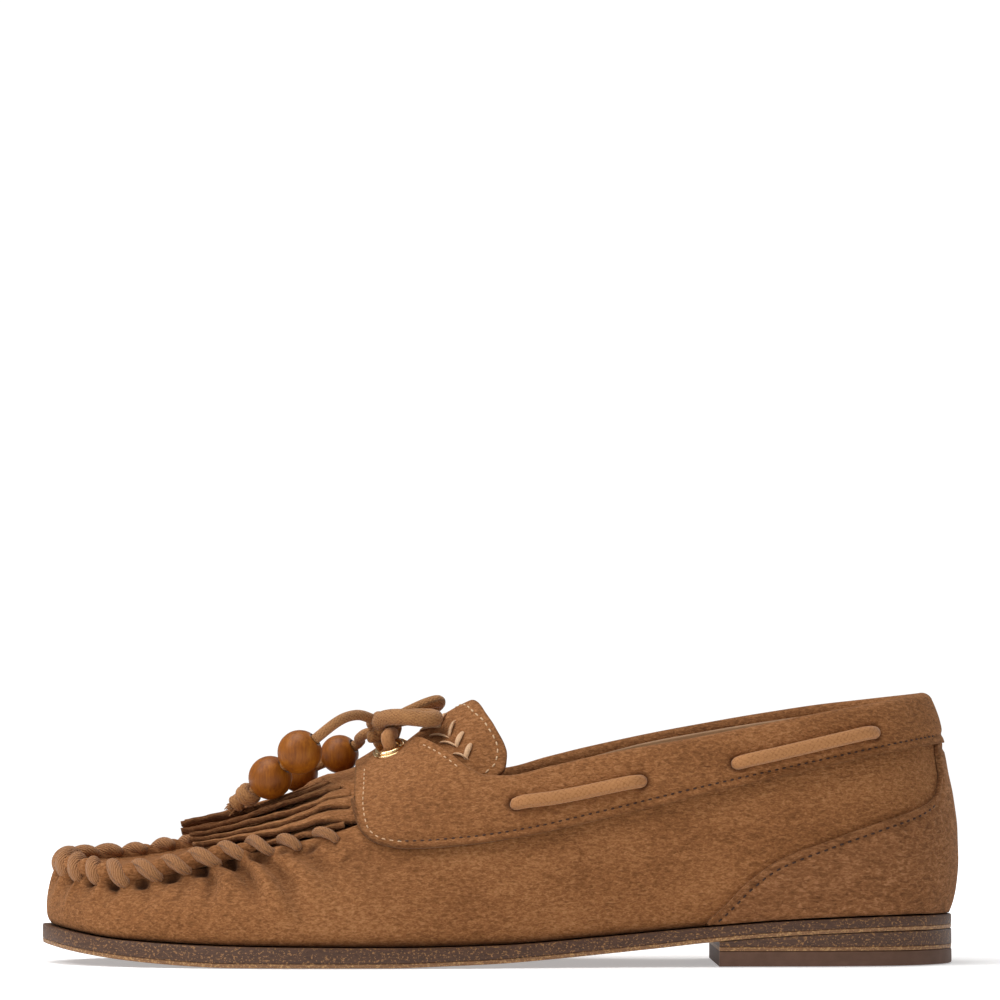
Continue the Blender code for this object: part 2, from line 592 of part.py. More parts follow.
def make_collar():
    """The laced bands with their front tabs, and the foam and soft lining behind them."""
    stations = np.array([-40.4, -39.6, -38.2, -35.5, -32, -28, -24, -20, -16, -12, -7, -1, 6, 14, 24,
                         34, 44, 54, 64, 74, 84, 94, 103, 111, 118])
    for side, medial in (("lateral", False), ("medial", True)):
        rows_u = rib_where(medial, stations, BAND_BOTTOM)
        rows_u = np.concatenate([rows_u, [25.4, 25.93] if medial else [0.6, 0.07]])
        rows_u = rows_u[::-1] if not medial else rows_u
        band = panel("collar_band_" + side, rows_u, v_at(rows_u, BAND_BOTTOM), v_at(rows_u, TOPLINE),
                     4, BAND, "suede")
        for x in SLOTS_X:
            cut(band, slot_cutter(medial, x))
        centre, normal = eyelet_seat(medial)
        cut(band, hole_cutter(centre, normal))
        make_eyelet("eyelet_" + side, centre, normal)
        end = float(rib_where(medial, 7.0, TOPLINE))
        rows_u = np.linspace(0.16, end, 17) if not medial else np.linspace(end, ROWS - 0.16, 17)
        panel("collar_foam_" + side, rows_u, v_at(rows_u, LACE_LINE, 2.2), v_at(rows_u, TOPLINE, -0.4),
              2, COLLAR_FOAM, "foam")
        panel("collar_lining_" + side, rows_u, v_at(rows_u, LACE_LINE, -3.5),
              v_at(rows_u, TOPLINE, -0.2), 3, COLLAR_LINING, "lining")


def seat(medial, x, line):
    """Point, normal and forward direction on the reference surface where a line crosses x."""
    u = rib_where(medial, x, line)
    v = v_at(u, line)
    ahead = rib_where(medial, x + 2.0, line)
    forward = rib_point(ahead, v_at(ahead, line)) - rib_point(u, v)
    return rib_point(u, v), rib_normal(u, v), forward / np.linalg.norm(forward)


def slot_cutter(medial, x):
    """A box as long as the slot that the lace dives through."""
    centre, normal, forward = seat(medial, x, LACE_LINE)
    across = np.cross(normal, forward)
    bpy.ops.mesh.primitive_cube_add(size=1.0)
    box = bpy.context.object
    box.name = "slot_cutter"
    turn = Matrix(np.column_stack([forward, across, normal]).tolist()).to_4x4()
    size = Matrix.Diagonal((*(Vector(SLOT_SIZE) * MM), 1.0))
    box.data.transform(turn @ size)
    box.location = Vector(centre) * MM
    return box


def eyelet_seat(medial):
    """Centre and normal of the eyelet on the tab."""
    centre, normal, _ = seat(medial, EYELET_X, LACE_LINE)
    return centre, normal


def hole_cutter(centre, normal):
    """A rod as wide as the eyelet's barrel."""
    bpy.ops.mesh.primitive_cylinder_add(vertices=16, radius=EYELET_HOLE_RADIUS * MM, depth=8 * MM)
    rod = bpy.context.object
    rod.name = "hole_cutter"
    place(rod, centre, normal)
    return rod


def make_eyelet(name, centre, normal):
    """A rolled metal ring that lies on the tab, with its barrel through the hole."""
    face = BAND[0] + GAP
    profile = [(2.5, face + 0.7), (3.1, face + 1.0), (3.7, face + 0.8), (4.1, face + 0.2),
               (3.9, face), (2.8, face), (2.8, 0.0), (2.5, 0.0)]
    turned(name, profile, centre, normal, "gold", steps=16, closed=True)


# ---------------------------------------------------------------- laces and beads

def make_whip_lace():
    """The lace that snakes over the seam between plug and wrap, one wave for each stitch."""
    steps = 4 * WHIP_STITCHES
    start, end = 8.55, ROWS - 8.95
    fine = np.linspace(start, end, 600)
    seam = rib_point(fine, v_at(fine, SEAM))
    length = np.concatenate([[0.0], np.cumsum(np.linalg.norm(np.diff(seam, axis=0), axis=1))])
    rows_u = np.interp(np.linspace(0.0, length[-1], steps + 1), length, fine)
    wave = WHIP_REACH * np.sin(np.arange(steps + 1) * math.pi / 2)
    v = up_the_rib(rows_u, v_at(rows_u, SEAM), wave)
    tube("whip_lace", surface(rows_u, v, WRAP[0] + WHIP_RADIUS + 0.7), WHIP_RADIUS, "cord", resolution=1)


def side_route(medial):
    """Half of the collar lace: bow to eyelet, under the tab, out and in of four slots to the heel."""
    centre, normal, back = seat(medial, EYELET_X, LACE_LINE)
    hand = 1.0 if medial else -1.0
    bow = np.array(BOW_CENTRE) + (2.2, hand * 5.6, 0.3)
    over = centre + normal * 5.2
    points = [bow, over * 0.5 + bow * 0.5 + (0.0, 0.0, 1.0), over, centre + normal * 1.2,
              centre + back * 0.5 - normal * 0.5]
    radii = [LACE_RADIUS] * 4 + [HIDDEN_LACE_RADIUS]
    hidden = (HIDDEN_LACE_OFFSET, HIDDEN_LACE_RADIUS)
    outside = (OUTSIDE_LACE_OFFSET, LACE_RADIUS)
    dive = (1.0, LACE_RADIUS * 0.85)
    first, second, third, fourth = SLOTS_X
    turn = 3.4
    plan = [(x, hidden) for x in (-27.5, -24, -20, -16, -12, -8, -4, first - turn)]
    plan += [(first, dive), (first + turn, outside)]
    plan += [(x, outside) for x in np.linspace(first + 9, second - 9, 4)]
    plan += [(second - turn, outside), (second, dive), (second + turn, hidden), (second + 9, hidden),
             (third - 9, hidden), (third - turn, hidden), (third, dive), (third + turn, outside)]
    plan += [(x, outside) for x in np.linspace(third + 9, fourth - 9, 4)]
    plan += [(fourth - turn, outside), (fourth, dive), (fourth + turn, hidden)]
    for x, (offset, radius) in plan:
        u = rib_where(medial, x, LACE_LINE)
        points.append(surface(u, v_at(u, LACE_LINE), offset))
        radii.append(radius)
    return points, radii


def make_side_lace():
    """The collar lace from the bow round the heel and back to the bow, in one length."""
    points, radii = side_route(False)
    other_points, other_radii = side_route(True)
    around = np.linspace(1.6, -1.6, 9)
    heel = surface(around, v_at(around, LACE_LINE), HIDDEN_LACE_OFFSET)
    points += list(heel) + other_points[::-1]
    radii += [HIDDEN_LACE_RADIUS] * len(heel) + other_radii[::-1]
    tube("side_lace", points, LACE_RADIUS, "cord", [radius / LACE_RADIUS for radius in radii])


def ball_profile(radius, steps):
    """Half circle of (radius, height) from the top pole to the bottom pole."""
    angles = [math.pi * k / steps for k in range(steps + 1)]
    return [(max(radius * math.sin(a), 0.0), radius * math.cos(a)) for a in angles]


def make_bow():
    """The tied knot and the two loops of the bow."""
    profile = [(r, h * 0.86) for r, h in ball_profile(4.9, 8)]
    turned("bow_knot", profile, BOW_CENTRE, (0.2, 0.3, 1.0), "cord", steps=14)
    tube("bow_loop_lateral", LATERAL_LOOP, BOW_RADIUS, "cord")
    tube("bow_loop_medial", MEDIAL_LOOP, BOW_RADIUS, "cord")


def make_bead(name, centre, axis, radius):
    """A wooden ball with a bore along the lace."""
    lip = math.asin(BEAD_BORE / radius)
    steps = 8
    angles = [lip + (math.pi - 2 * lip) * k / steps for k in range(steps + 1)]
    profile = [(radius * math.sin(a), radius * math.cos(a)) for a in angles]
    return turned(name, profile, centre, axis, "wood", steps=14, closed=True)


def make_lace_end(side, route, beads, knot, radius):
    """A loose end of the lace with two beads and the double knot that stops them."""
    beads = [np.array(bead) for bead in beads]
    knot = np.array(knot)
    drop = knot - beads[1]
    drop /= np.linalg.norm(drop)
    stops = [np.array(route[-1]), *beads, knot]
    points = list(route)
    hanging = []
    for k, bead in enumerate(beads):
        axis = stops[k + 2] - stops[k]
        axis /= np.linalg.norm(axis)
        inside = radius - 2.4
        before = radius + 1.2 if k == 0 else inside
        points += [bead - axis * before, bead + axis * inside]
        hanging.append(make_bead(f"bead_{side}_{k + 1}", bead, axis, radius))
    end = knot - drop * 3.2
    hanging.append(tube("lace_end_" + side, points + [end], LACE_RADIUS, "cord"))
    profile = [(0.0, 2.7), (1.9, 2.6), (3.2, 1.8), (3.6, 0.6), (3.1, -0.8), (2.0, -1.6), (2.5, -2.6),
               (2.8, -3.8), (2.3, -5.0), (1.2, -5.7), (0.0, -5.8)]
    hanging.append(turned("end_knot_" + side, profile, knot, -drop, "cord", steps=14))
    hang_from("swing_" + side, route[0], hanging)


def hang_from(name, point, pieces):
    """Hang pieces from an empty that stands where the lace bends as it leaves the bow."""
    pivot = bpy.data.objects.new(name, None)
    PARTS.objects.link(pivot)
    pivot.location = Vector(point) * MM
    for piece in pieces:
        piece.parent = pivot
        piece.matrix_parent_inverse = Matrix.Translation(-pivot.location)


def build():
    """Make the whole shoe."""
    clear_scene()
    make_bottom()
    make_wrap()
    make_vamp()
    make_heel_upper()
    make_collar()
    make_whip_lace()
    make_side_lace()
    make_bow()
    make_lace_end("lateral", LATERAL_END, LATERAL_BEADS, LATERAL_KNOT, FRONT_BEAD_RADIUS)
    make_lace_end("medial", MEDIAL_END, MEDIAL_BEADS, MEDIAL_KNOT, REAR_BEAD_RADIUS)


build()
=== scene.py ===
# %% [markdown]
# # A woman's suede moccasin, dressed from its frame
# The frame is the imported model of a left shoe: every sub-part as a plain solid, at its real place.
# The toe points to -X, the heel to +X, the outer (lateral) side faces -Y, and +Z is up. The frame
# tells where things are and what moves. This script gives each piece its surface: napped suede with
# its pleats and cut edges, twisted cord, sewing thread, varnished wood and plated brass.

# %% Load the frame
import json
import math

import bmesh
import bpy
import numpy as np
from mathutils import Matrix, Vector


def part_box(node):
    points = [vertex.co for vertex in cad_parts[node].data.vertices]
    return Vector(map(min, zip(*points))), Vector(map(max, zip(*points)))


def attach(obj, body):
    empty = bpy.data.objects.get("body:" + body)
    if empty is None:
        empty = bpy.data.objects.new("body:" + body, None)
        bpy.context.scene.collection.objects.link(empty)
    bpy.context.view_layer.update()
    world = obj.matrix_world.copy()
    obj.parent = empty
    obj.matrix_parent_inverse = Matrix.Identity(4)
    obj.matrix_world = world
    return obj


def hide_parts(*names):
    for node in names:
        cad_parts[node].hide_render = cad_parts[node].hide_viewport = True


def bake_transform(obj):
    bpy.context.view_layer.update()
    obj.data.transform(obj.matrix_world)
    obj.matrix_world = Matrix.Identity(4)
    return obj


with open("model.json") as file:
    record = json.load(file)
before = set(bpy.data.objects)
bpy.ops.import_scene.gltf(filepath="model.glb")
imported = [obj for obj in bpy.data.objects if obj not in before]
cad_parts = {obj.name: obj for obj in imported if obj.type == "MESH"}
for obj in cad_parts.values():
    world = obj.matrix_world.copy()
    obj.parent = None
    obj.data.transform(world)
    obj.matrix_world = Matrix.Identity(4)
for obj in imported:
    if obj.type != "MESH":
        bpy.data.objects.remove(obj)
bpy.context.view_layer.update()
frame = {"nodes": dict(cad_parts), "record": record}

MM = 0.001
SHOE = "shoe"

# %% [markdown]
# ## The camera
# A shoe is catalogued from its outer side, from a little above the floor, with a long lens that
# keeps the heel and the toe the same size.

# %% Camera
CAMERA_PLACE = (0.0, -1.25, 0.052)
CAMERA_AIM = (0.0, 0.0, 0.132)
FOCAL_LENGTH = 157.0
camera_data = bpy.data.cameras.new("catalogue_camera")
camera_data.lens = FOCAL_LENGTH
camera_data.sensor_width = 36.0
camera = bpy.data.objects.new("catalogue_camera", camera_data)
bpy.context.scene.collection.objects.link(camera)
camera.location = CAMERA_PLACE
camera.rotation_mode = "QUATERNION"
camera.rotation_quaternion = (Vector(CAMERA_AIM) - Vector(CAMERA_PLACE)).to_track_quat("-Z", "Y")
bpy.context.scene.camera = camera
print("camera", tuple(camera.location))

# %% [markdown]
# ## Colours and nodes
# Colours are written as sRGB hex, as a dyer's card would give them, and one function turns them
# into the linear values that the renderer works in. Materials are chains of nodes, so one more
# function adds a node with its settings and its links.

# %% Helpers for materials
def linear(code):
    """An sRGB hex colour as linear RGBA."""
    parts = [int(code[k:k + 2], 16) / 255 for k in (1, 3, 5)]
    return (*[c / 12.92 if c <= 0.04045 else ((c + 0.055) / 1.055) ** 2.4 for c in parts], 1.0)


def add(tree, kind, links=None, **settings):
    """A node of this kind: settings are its properties, links are its inputs' values or sources."""
    made = tree.nodes.new(kind)
    for name, value in settings.items():
        setattr(made, name, value)
    for key, value in (links or {}).items():
        if isinstance(value, bpy.types.NodeSocket):
            tree.links.new(value, made.inputs[key])
        else:
            made.inputs[key].default_value = value
    return made


def ramp(tree, factor, stops):
    """A colour ramp with (place, hex colour) stops."""
    made = add(tree, "ShaderNodeValToRGB", {"Fac": factor})
    elements = made.color_ramp.elements
    while len(elements) < len(stops):
        elements.new(0.5)
    for element, (place, code) in zip(elements, stops):
        element.position = place
        element.color = linear(code)
    return made.outputs["Color"]


def levels(tree, value, low, high, out_low=0.0, out_high=1.0):
    """value remapped from low..high to out_low..out_high, and clamped."""
    return add(tree, "ShaderNodeMapRange", {"Value": value, "From Min": low, "From Max": high,
                                            "To Min": out_low, "To Max": out_high}).outputs[0]


def mixed(tree, factor, a, b):
    """Two colours mixed by factor."""
    return add(tree, "ShaderNodeMix", {0: factor, 6: a, 7: b}, data_type="RGBA").outputs[2]


def weighted(tree, *shares):
    """The sum of (value, weight) pairs."""
    total = None
    for value, weight in shares:
        links = {0: value, 1: weight} if total is None else {0: value, 1: weight, 2: total}
        how = "MULTIPLY" if total is None else "MULTIPLY_ADD"
        total = add(tree, "ShaderNodeMath", links, operation=how).outputs[0]
    return total


def shaded(tree, colour, dark):
    """The colour, taken towards a dark one where a mesh is painted with "shade"."""
    painted = add(tree, "ShaderNodeAttribute", attribute_name="shade").outputs["Fac"]
    return mixed(tree, painted, colour, linear(dark))


def noise(tree, where, size_mm, detail=3.0, roughness=0.55, distortion=0.0):
    """Noise whose blotches are about size_mm across."""
    return add(tree, "ShaderNodeTexNoise", {"Vector": where, "Scale": 1000.0 / size_mm, "Detail": detail,
               "Roughness": roughness, "Distortion": distortion}).outputs["Fac"]


def bumped(tree, height, depth_mm, strength, below=None):
    """A bump normal from a 0..1 height that is depth_mm deep, laid over the normal below."""
    links = {"Height": height, "Distance": depth_mm * MM, "Strength": strength}
    if below is not None:
        links["Normal"] = below
    return add(tree, "ShaderNodeBump", links).outputs["Normal"]


def new_material(name, **values):
    """A material, its tree and its Principled shader; values set the shader's sockets."""
    made = bpy.data.materials.new(name)
    made.use_nodes = True
    shader = made.node_tree.nodes["Principled BSDF"]
    for key, value in values.items():
        shader.inputs[key.replace("_", " ")].default_value = value
    return made, made.node_tree, shader


def place_of(tree, stretch=(1.0, 1.0, 1.0)):
    """Object coordinates in metres, stretched."""
    where = add(tree, "ShaderNodeTexCoord").outputs["Object"]
    return add(tree, "ShaderNodeMapping", {"Vector": where, "Scale": stretch}).outputs["Vector"]


print("helpers ready")

# %% [markdown]
# ## Light and floor
# One broad panel hangs overhead, a weak one fills the front, a small one picks out the toe from its
# side, and one at the back draws a rim. The floor is a white card that glows more with distance, so
# that it runs into the white backdrop and still takes a soft shadow under the sole.

# %% Lights and floor
def panel_light(name, place, aim, size, power):
    """A soft rectangular light at place that faces aim."""
    data = bpy.data.lights.new(name, "AREA")
    data.shape = "RECTANGLE"
    data.size, data.size_y = size
    data.energy = power
    light = bpy.data.objects.new(name, data)
    bpy.context.scene.collection.objects.link(light)
    light.location = place
    light.rotation_mode = "QUATERNION"
    light.rotation_quaternion = (Vector(aim) - Vector(place)).to_track_quat("-Z", "Y")


MIDDLE = (0.0, 0.0, 0.04)
WHITE = (1.0, 1.0, 1.0, 1.0)
WORLD_STRENGTH = 0.26
panel_light("overhead", (-0.3, -0.1, 1.1), MIDDLE, (0.9, 0.8), 9.5)
panel_light("front_fill", (-0.5, -1.3, 0.6), MIDDLE, (0.8, 0.5), 1.7)
panel_light("toe_side", (-0.9, -0.45, 0.75), MIDDLE, (0.35, 0.35), 4.6)
panel_light("rim", (0.7, 0.9, 0.7), MIDDLE, (0.8, 0.5), 3.0)
world = bpy.data.worlds.new("studio")
world.use_nodes = True
background = world.node_tree.nodes["Background"]
background.inputs["Color"].default_value = WHITE
background.inputs["Strength"].default_value = WORLD_STRENGTH
bpy.context.scene.world = world
bpy.context.scene.view_settings.view_transform = "Standard"

FLOOR_HALF = 2.2
FLOOR_DROP = 0.0002  # the card lies just under the sole, so that the two don't flicker
GLOW_REACH = (0.2, 0.75)  # metres from the shoe
GLOW = (0.38, 1.05)
floor_mesh = bpy.data.meshes.new("floor")
floor_corners = [(-FLOOR_HALF, -FLOOR_HALF), (FLOOR_HALF, -FLOOR_HALF), (FLOOR_HALF, FLOOR_HALF),
                 (-FLOOR_HALF, FLOOR_HALF)]
floor_mesh.from_pydata([(x, y, -FLOOR_DROP) for x, y in floor_corners], [], [(0, 1, 2, 3)])
floor = bpy.data.objects.new("floor", floor_mesh)
bpy.context.scene.collection.objects.link(floor)
FLOOR_WHITE, tree, shader = new_material("white_sweep_card", Base_Color=(0.86, 0.86, 0.86, 1.0),
                                         Roughness=0.8, Specular_IOR_Level=0.1, Emission_Color=WHITE)
from_shoe = add(tree, "ShaderNodeVectorMath", {0: add(tree, "ShaderNodeTexCoord").outputs["Object"]},
                operation="LENGTH").outputs["Value"]
tree.links.new(levels(tree, from_shoe, *GLOW_REACH, *GLOW), shader.inputs["Emission Strength"])
floor_mesh.materials.append(FLOOR_WHITE)

dome_mesh = bpy.data.meshes.new("white_dome")
dome_shape = bmesh.new()
bmesh.ops.create_icosphere(dome_shape, subdivisions=4, radius=FLOOR_HALF * 0.98)
dome_shape.to_mesh(dome_mesh)
dome_shape.free()
DOME_WHITE, _, _ = new_material("bright_white_backdrop", Base_Color=(0.0, 0.0, 0.0, 1.0),
                                Emission_Color=WHITE, Emission_Strength=1.0)
dome_mesh.materials.append(DOME_WHITE)
dome = bpy.data.objects.new("white_dome", dome_mesh)
bpy.context.scene.collection.objects.link(dome)
for ray in ("diffuse", "glossy", "transmission", "shadow"):
    setattr(dome, "visible_" + ray, False)

# %% [markdown]
# ## Suede
# Suede is the flesh side of a split hide, buffed until its fibres stand up as a nap. The nap takes
# no gloss, it glows a little at grazing angles, and it lies in small ruffled patches just under a
# millimetre high, stretched along the shoe, some brushed light and some dark. Fibres are finer than
# a render shows, so the finest noise is drawn at about 0.34 mm. A "shade" value is painted on the
# meshes as painted shade, where shadow falls: along cut edges, round holes and in the bottom of each pleat.

# %% Suede materials
NAP_STRETCH = (0.5, 0.6, 1.15)


def suede(name, light, middle, dark, ruffle_mm=0.8, ruffle_depth=0.42, grain_mm=0.34):
    """Napped suede between a light and a dark colour."""
    made, tree, shader = new_material(name, Roughness=0.94, Specular_IOR_Level=0.16, IOR=1.45,
                                      Sheen_Weight=0.16, Sheen_Roughness=0.5,
                                      Sheen_Tint=linear("#d9b48c"))
    where = place_of(tree, NAP_STRETCH)
    ruffle = noise(tree, where, ruffle_mm, 2.5, 0.62, 0.6)
    grain = noise(tree, where, grain_mm, 2.0, 0.65)
    cloud = noise(tree, where, 17.0, 3.0, 0.5)
    tone = weighted(tree, (levels(tree, ruffle, 0.33, 0.67), 0.46), (levels(tree, grain, 0.3, 0.7), 0.32),
                    (levels(tree, cloud, 0.3, 0.7), 0.22))
    colour = ramp(tree, tone, [(0.1, dark), (0.5, middle), (0.9, light)])
    tree.links.new(shaded(tree, colour, "#3c2110"), shader.inputs["Base Color"])
    below = bumped(tree, ruffle, ruffle_depth, 1.0)
    tree.links.new(bumped(tree, grain, 0.16, 0.9, below), shader.inputs["Normal"])
    return made


SUEDE = suede("tan_split_suede", "#ab784e", "#895934", "#613c21")
SUEDE_COARSE = suede("coarse_split_suede", "#a57550", "#825534", "#5a381f", 1.15, 0.6, 0.45)
SUEDE_EDGE = suede("cut_suede_edge", "#a4744b", "#7d5132", "#57361d", 0.7, 0.4, 0.35)
print("suedes:", SUEDE.name, SUEDE_COARSE.name, SUEDE_EDGE.name)

# %% [markdown]
# ## Cord and thread
# The laces are round polyester cord with a braided cover: dull, with a fine herringbone of yarns a
# little lighter and darker than each other, about 0.75 mm apart. The whip lace is a twisted cord,
# whose yarns all slant one way. UVs on each cord run in millimetres, u round it and v along it, so
# the pattern keeps its size.

# %% Cord, thread and raffia materials
LAY_ANGLE = 0.62  # radians between a yarn and the cord
ONE_BAND = 0.314  # scale at which a wave texture has one band per unit


def braided(name, light, dark, yarn_mm=0.75, depth=0.16, slants=(1.0, -1.0), ragged=1.0):
    """Cord cover of slanting yarns: two sets for a braid, one for a twist."""
    made, tree, shader = new_material(name, Roughness=0.86, Specular_IOR_Level=0.22, IOR=1.5,
                                      Sheen_Weight=0.12, Sheen_Roughness=0.45)
    where = add(tree, "ShaderNodeUVMap", uv_map="around_along").outputs["UV"]
    fine = noise(tree, place_of(tree), 0.5, 2.0, 0.6)
    weave = None
    for slant in slants:
        turned = add(tree, "ShaderNodeMapping", {"Vector": where,
                     "Rotation": (0.0, 0.0, slant * LAY_ANGLE)})
        yarns = add(tree, "ShaderNodeTexWave", {"Vector": turned.outputs[0], "Scale": ONE_BAND / yarn_mm,
                    "Distortion": ragged, "Detail": 1.0, "Detail Scale": 1.4},
                    wave_type="BANDS").outputs["Fac"]
        if weave is None:
            weave = yarns
        else:
            weave = add(tree, "ShaderNodeMath", {0: weave, 1: yarns}, operation="MULTIPLY").outputs[0]
    tone = weighted(tree, (weave, 1.0), (levels(tree, fine, 0.32, 0.68), 0.55))
    colour = ramp(tree, tone, [(0.05, dark), (0.45, light), (1.0, light)])
    tree.links.new(shaded(tree, colour, "#2c180b"), shader.inputs["Base Color"])
    below = bumped(tree, weave, depth, 0.8)
    tree.links.new(bumped(tree, fine, 0.07, 0.5, below), shader.inputs["Normal"])
    return made


CORD = braided("braided_lace_cord", "#a27347", "#7a5030")
SIDE_CORD = braided("brushed_collar_lace", "#aa774b", "#8f6039", 0.9, 0.07)
WHIP_CORD = braided("twisted_whip_cord", "#9f6f47", "#6f462a", 0.62, 0.26, (1.0,), 3.0)


def thread(name, code, sheen):
    """Sewing thread: one dyed colour with a slight lustre and a fine twist."""
    made, tree, shader = new_material(name, Roughness=0.55, Specular_IOR_Level=0.3, IOR=1.5,
                                      Sheen_Weight=sheen, Sheen_Roughness=0.4)
    tone = noise(tree, place_of(tree), 0.5, 2.0)
    colour = mixed(tree, levels(tree, tone, 0.35, 0.7, 0.0, 0.22), linear(code), linear("#2a170b"))
    tree.links.new(colour, shader.inputs["Base Color"])
    tree.links.new(bumped(tree, tone, 0.05, 0.5), shader.inputs["Normal"])
    return made


THREAD_LIGHT = thread("pale_polyester_thread", "#d8b48c", 0.1)
THREAD_DARK = thread("brown_polyester_thread", "#38200f", 0.03)
RAFFIA = thread("raffia_strip", "#d6ab82", 0.12)
print("cords and threads ready")

# %% [markdown]
# ## Tubes of cord
# Every lace is the same thing at heart: a round cord that follows a route. A smooth curve is run
# through the route's points, rings are set square to it without twisting, and the ends are rounded.
# The mesh carries UVs in millimetres so that the braid can be drawn on it.

# %% Making meshes
def mesh_piece(name, points, faces, materials, slot=None, stands_for=(), body=SHOE, shade=None):
    """A mesh piece from points in millimetres that rides on a body of the frame."""
    mesh = bpy.data.meshes.new(name)
    mesh.from_pydata((np.asarray(points, float) * MM).tolist(), [], faces)
    for item in materials:
        mesh.materials.append(item)
    values = np.zeros(len(points)) if shade is None else np.clip(np.ravel(shade), 0.0, 1.0)
    mesh.attributes.new("shade", "FLOAT", "POINT").data.foreach_set("value", values.astype(np.float32))
    mesh.shade_smooth()
    piece = bpy.data.objects.new(name, mesh)
    bpy.context.scene.collection.objects.link(piece)
    if stands_for:
        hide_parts(*stands_for)
    if body:
        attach(piece, body)
    return piece


def through(points, step=0.6):
    """A smooth path through the points, with a new point about every step millimetres."""
    p = np.asarray(points, float)
    p = np.concatenate([[2 * p[0] - p[1]], p, [2 * p[-1] - p[-2]]])
    path = []
    for k in range(1, len(p) - 2):
        count = max(int(np.linalg.norm(p[k + 1] - p[k]) / step), 1)
        for t in np.arange(count) / count:
            bend = 2 * p[k - 1] - 5 * p[k] + 4 * p[k + 1] - p[k + 2]
            twist = 3 * (p[k] - p[k + 1]) + p[k + 2] - p[k - 1]
            path.append(p[k] + 0.5 * t * (p[k + 1] - p[k - 1] + t * (bend + t * twist)))
    path.append(p[-2])
    return np.array(path)


def frames_along(path):
    """Direction and two square directions at each point of a path, carried along without twist."""
    along = np.gradient(path, axis=0)
    along /= np.linalg.norm(along, axis=1, keepdims=True)
    side = np.cross(along[0], (0.1, 0.2, 1.0))
    side /= np.linalg.norm(side)
    sides = []
    for direction in along:
        side = side - direction * np.dot(side, direction)
        side /= np.linalg.norm(side)
        sides.append(side)
    sides = np.array(sides)
    return along, sides, np.cross(along, sides)


def ring_faces(rings, sides):
    """Quads between rings of points, and one flat cap at each end."""
    k = np.arange(sides)
    faces = []
    for ring in range(rings - 1):
        a = ring * sides + k
        b = ring * sides + (k + 1) % sides
        faces += np.column_stack([a, b, b + sides, a + sides]).tolist()
    faces.append(k[::-1].tolist())
    faces.append(((rings - 1) * sides + k).tolist())
    return faces


def tube_mesh(path, radius, sides=16, plies=0, lay_mm=5.0, groove=0.0, flat=1.0):
    """Points, faces and UVs of a round or plied cord on a path; radius may vary along it."""
    along, side, up = frames_along(path)
    radius = np.broadcast_to(np.asarray(radius, float), len(path)).copy()
    length = np.concatenate([[0.0], np.cumsum(np.linalg.norm(np.diff(path, axis=0), axis=1))])
    ends = np.minimum(length, length[-1] - length) / (radius * 0.6)
    round_off = np.sqrt(np.clip(1.0 - (1.0 - np.clip(ends, 0.0, 1.0)) ** 2, 0.03, 1.0))
    angle = np.arange(sides) * 2 * math.pi / sides
    twist = angle[None, :] * plies + (length / lay_mm * 2 * math.pi)[:, None]
    reach = radius[:, None] * round_off[:, None] * (1.0 - groove * (0.5 - 0.5 * np.abs(np.cos(twist / 2))))
    points = (path[:, None] + side[:, None] * (reach * np.cos(angle))[..., None]
              + up[:, None] * (reach * np.sin(angle) * flat)[..., None])
    around = np.broadcast_to(angle * radius.mean(), reach.shape)
    uv = np.stack([around, np.broadcast_to(length[:, None], reach.shape)], axis=-1)
    return points.reshape(-1, 3), ring_faces(len(path), sides), uv.reshape(-1, 2)


def join_meshes(parts):
    """One set of points, faces and UVs from several."""
    points, faces, uvs, count = [], [], [], 0
    for p, f, uv in parts:
        faces += [[k + count for k in face] for face in f]
        points.append(p)
        uvs.append(uv)
        count += len(p)
    return np.concatenate(points), faces, np.concatenate(uvs)


def cord_piece(name, parts, materials, **rest):
    """A piece made of one or more tubes, with their UVs."""
    points, faces, uv = join_meshes(parts)
    piece = mesh_piece(name, points, faces, materials, **rest)
    layer = piece.data.uv_layers.new(name="around_along")
    corners = np.empty(len(piece.data.loops), dtype=np.int32)
    piece.data.loops.foreach_get("vertex_index", corners)
    layer.data.foreach_set("uv", uv[corners].astype(np.float32).ravel())
    return piece


def path_length(path):
    """Length of a path, in its own units."""
    return float(np.linalg.norm(np.diff(path, axis=0), axis=1).sum())


def faces_out(piece, sharp_angle=None):
    """Turn a closed piece's faces outward, and mark edges sharper than an angle in degrees."""
    shape = bmesh.new()
    shape.from_mesh(piece.data)
    bmesh.ops.remove_doubles(shape, verts=shape.verts, dist=0.00001)
    bmesh.ops.recalc_face_normals(shape, faces=shape.faces)
    if sharp_angle is not None:
        for edge in shape.edges:
            if edge.calc_face_angle(0.0) > math.radians(sharp_angle):
                edge.smooth = False
    shape.to_mesh(piece.data)
    shape.free()


def middle_of(node):
    """Centre of a frame node's box, in millimetres."""
    low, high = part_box(node)
    return (np.array(low) + np.array(high)) / 2 / MM


def joint_of(name):
    """Place in millimetres and direction of a joint of the frame."""
    found = next(j for j in frame["record"]["behaviour"]["joints"] if j["name"] == name)
    return np.array(found["pos_m"]) / MM, np.array(found["axis"], float)


print("knot centre", middle_of("bow_knot").round(1))
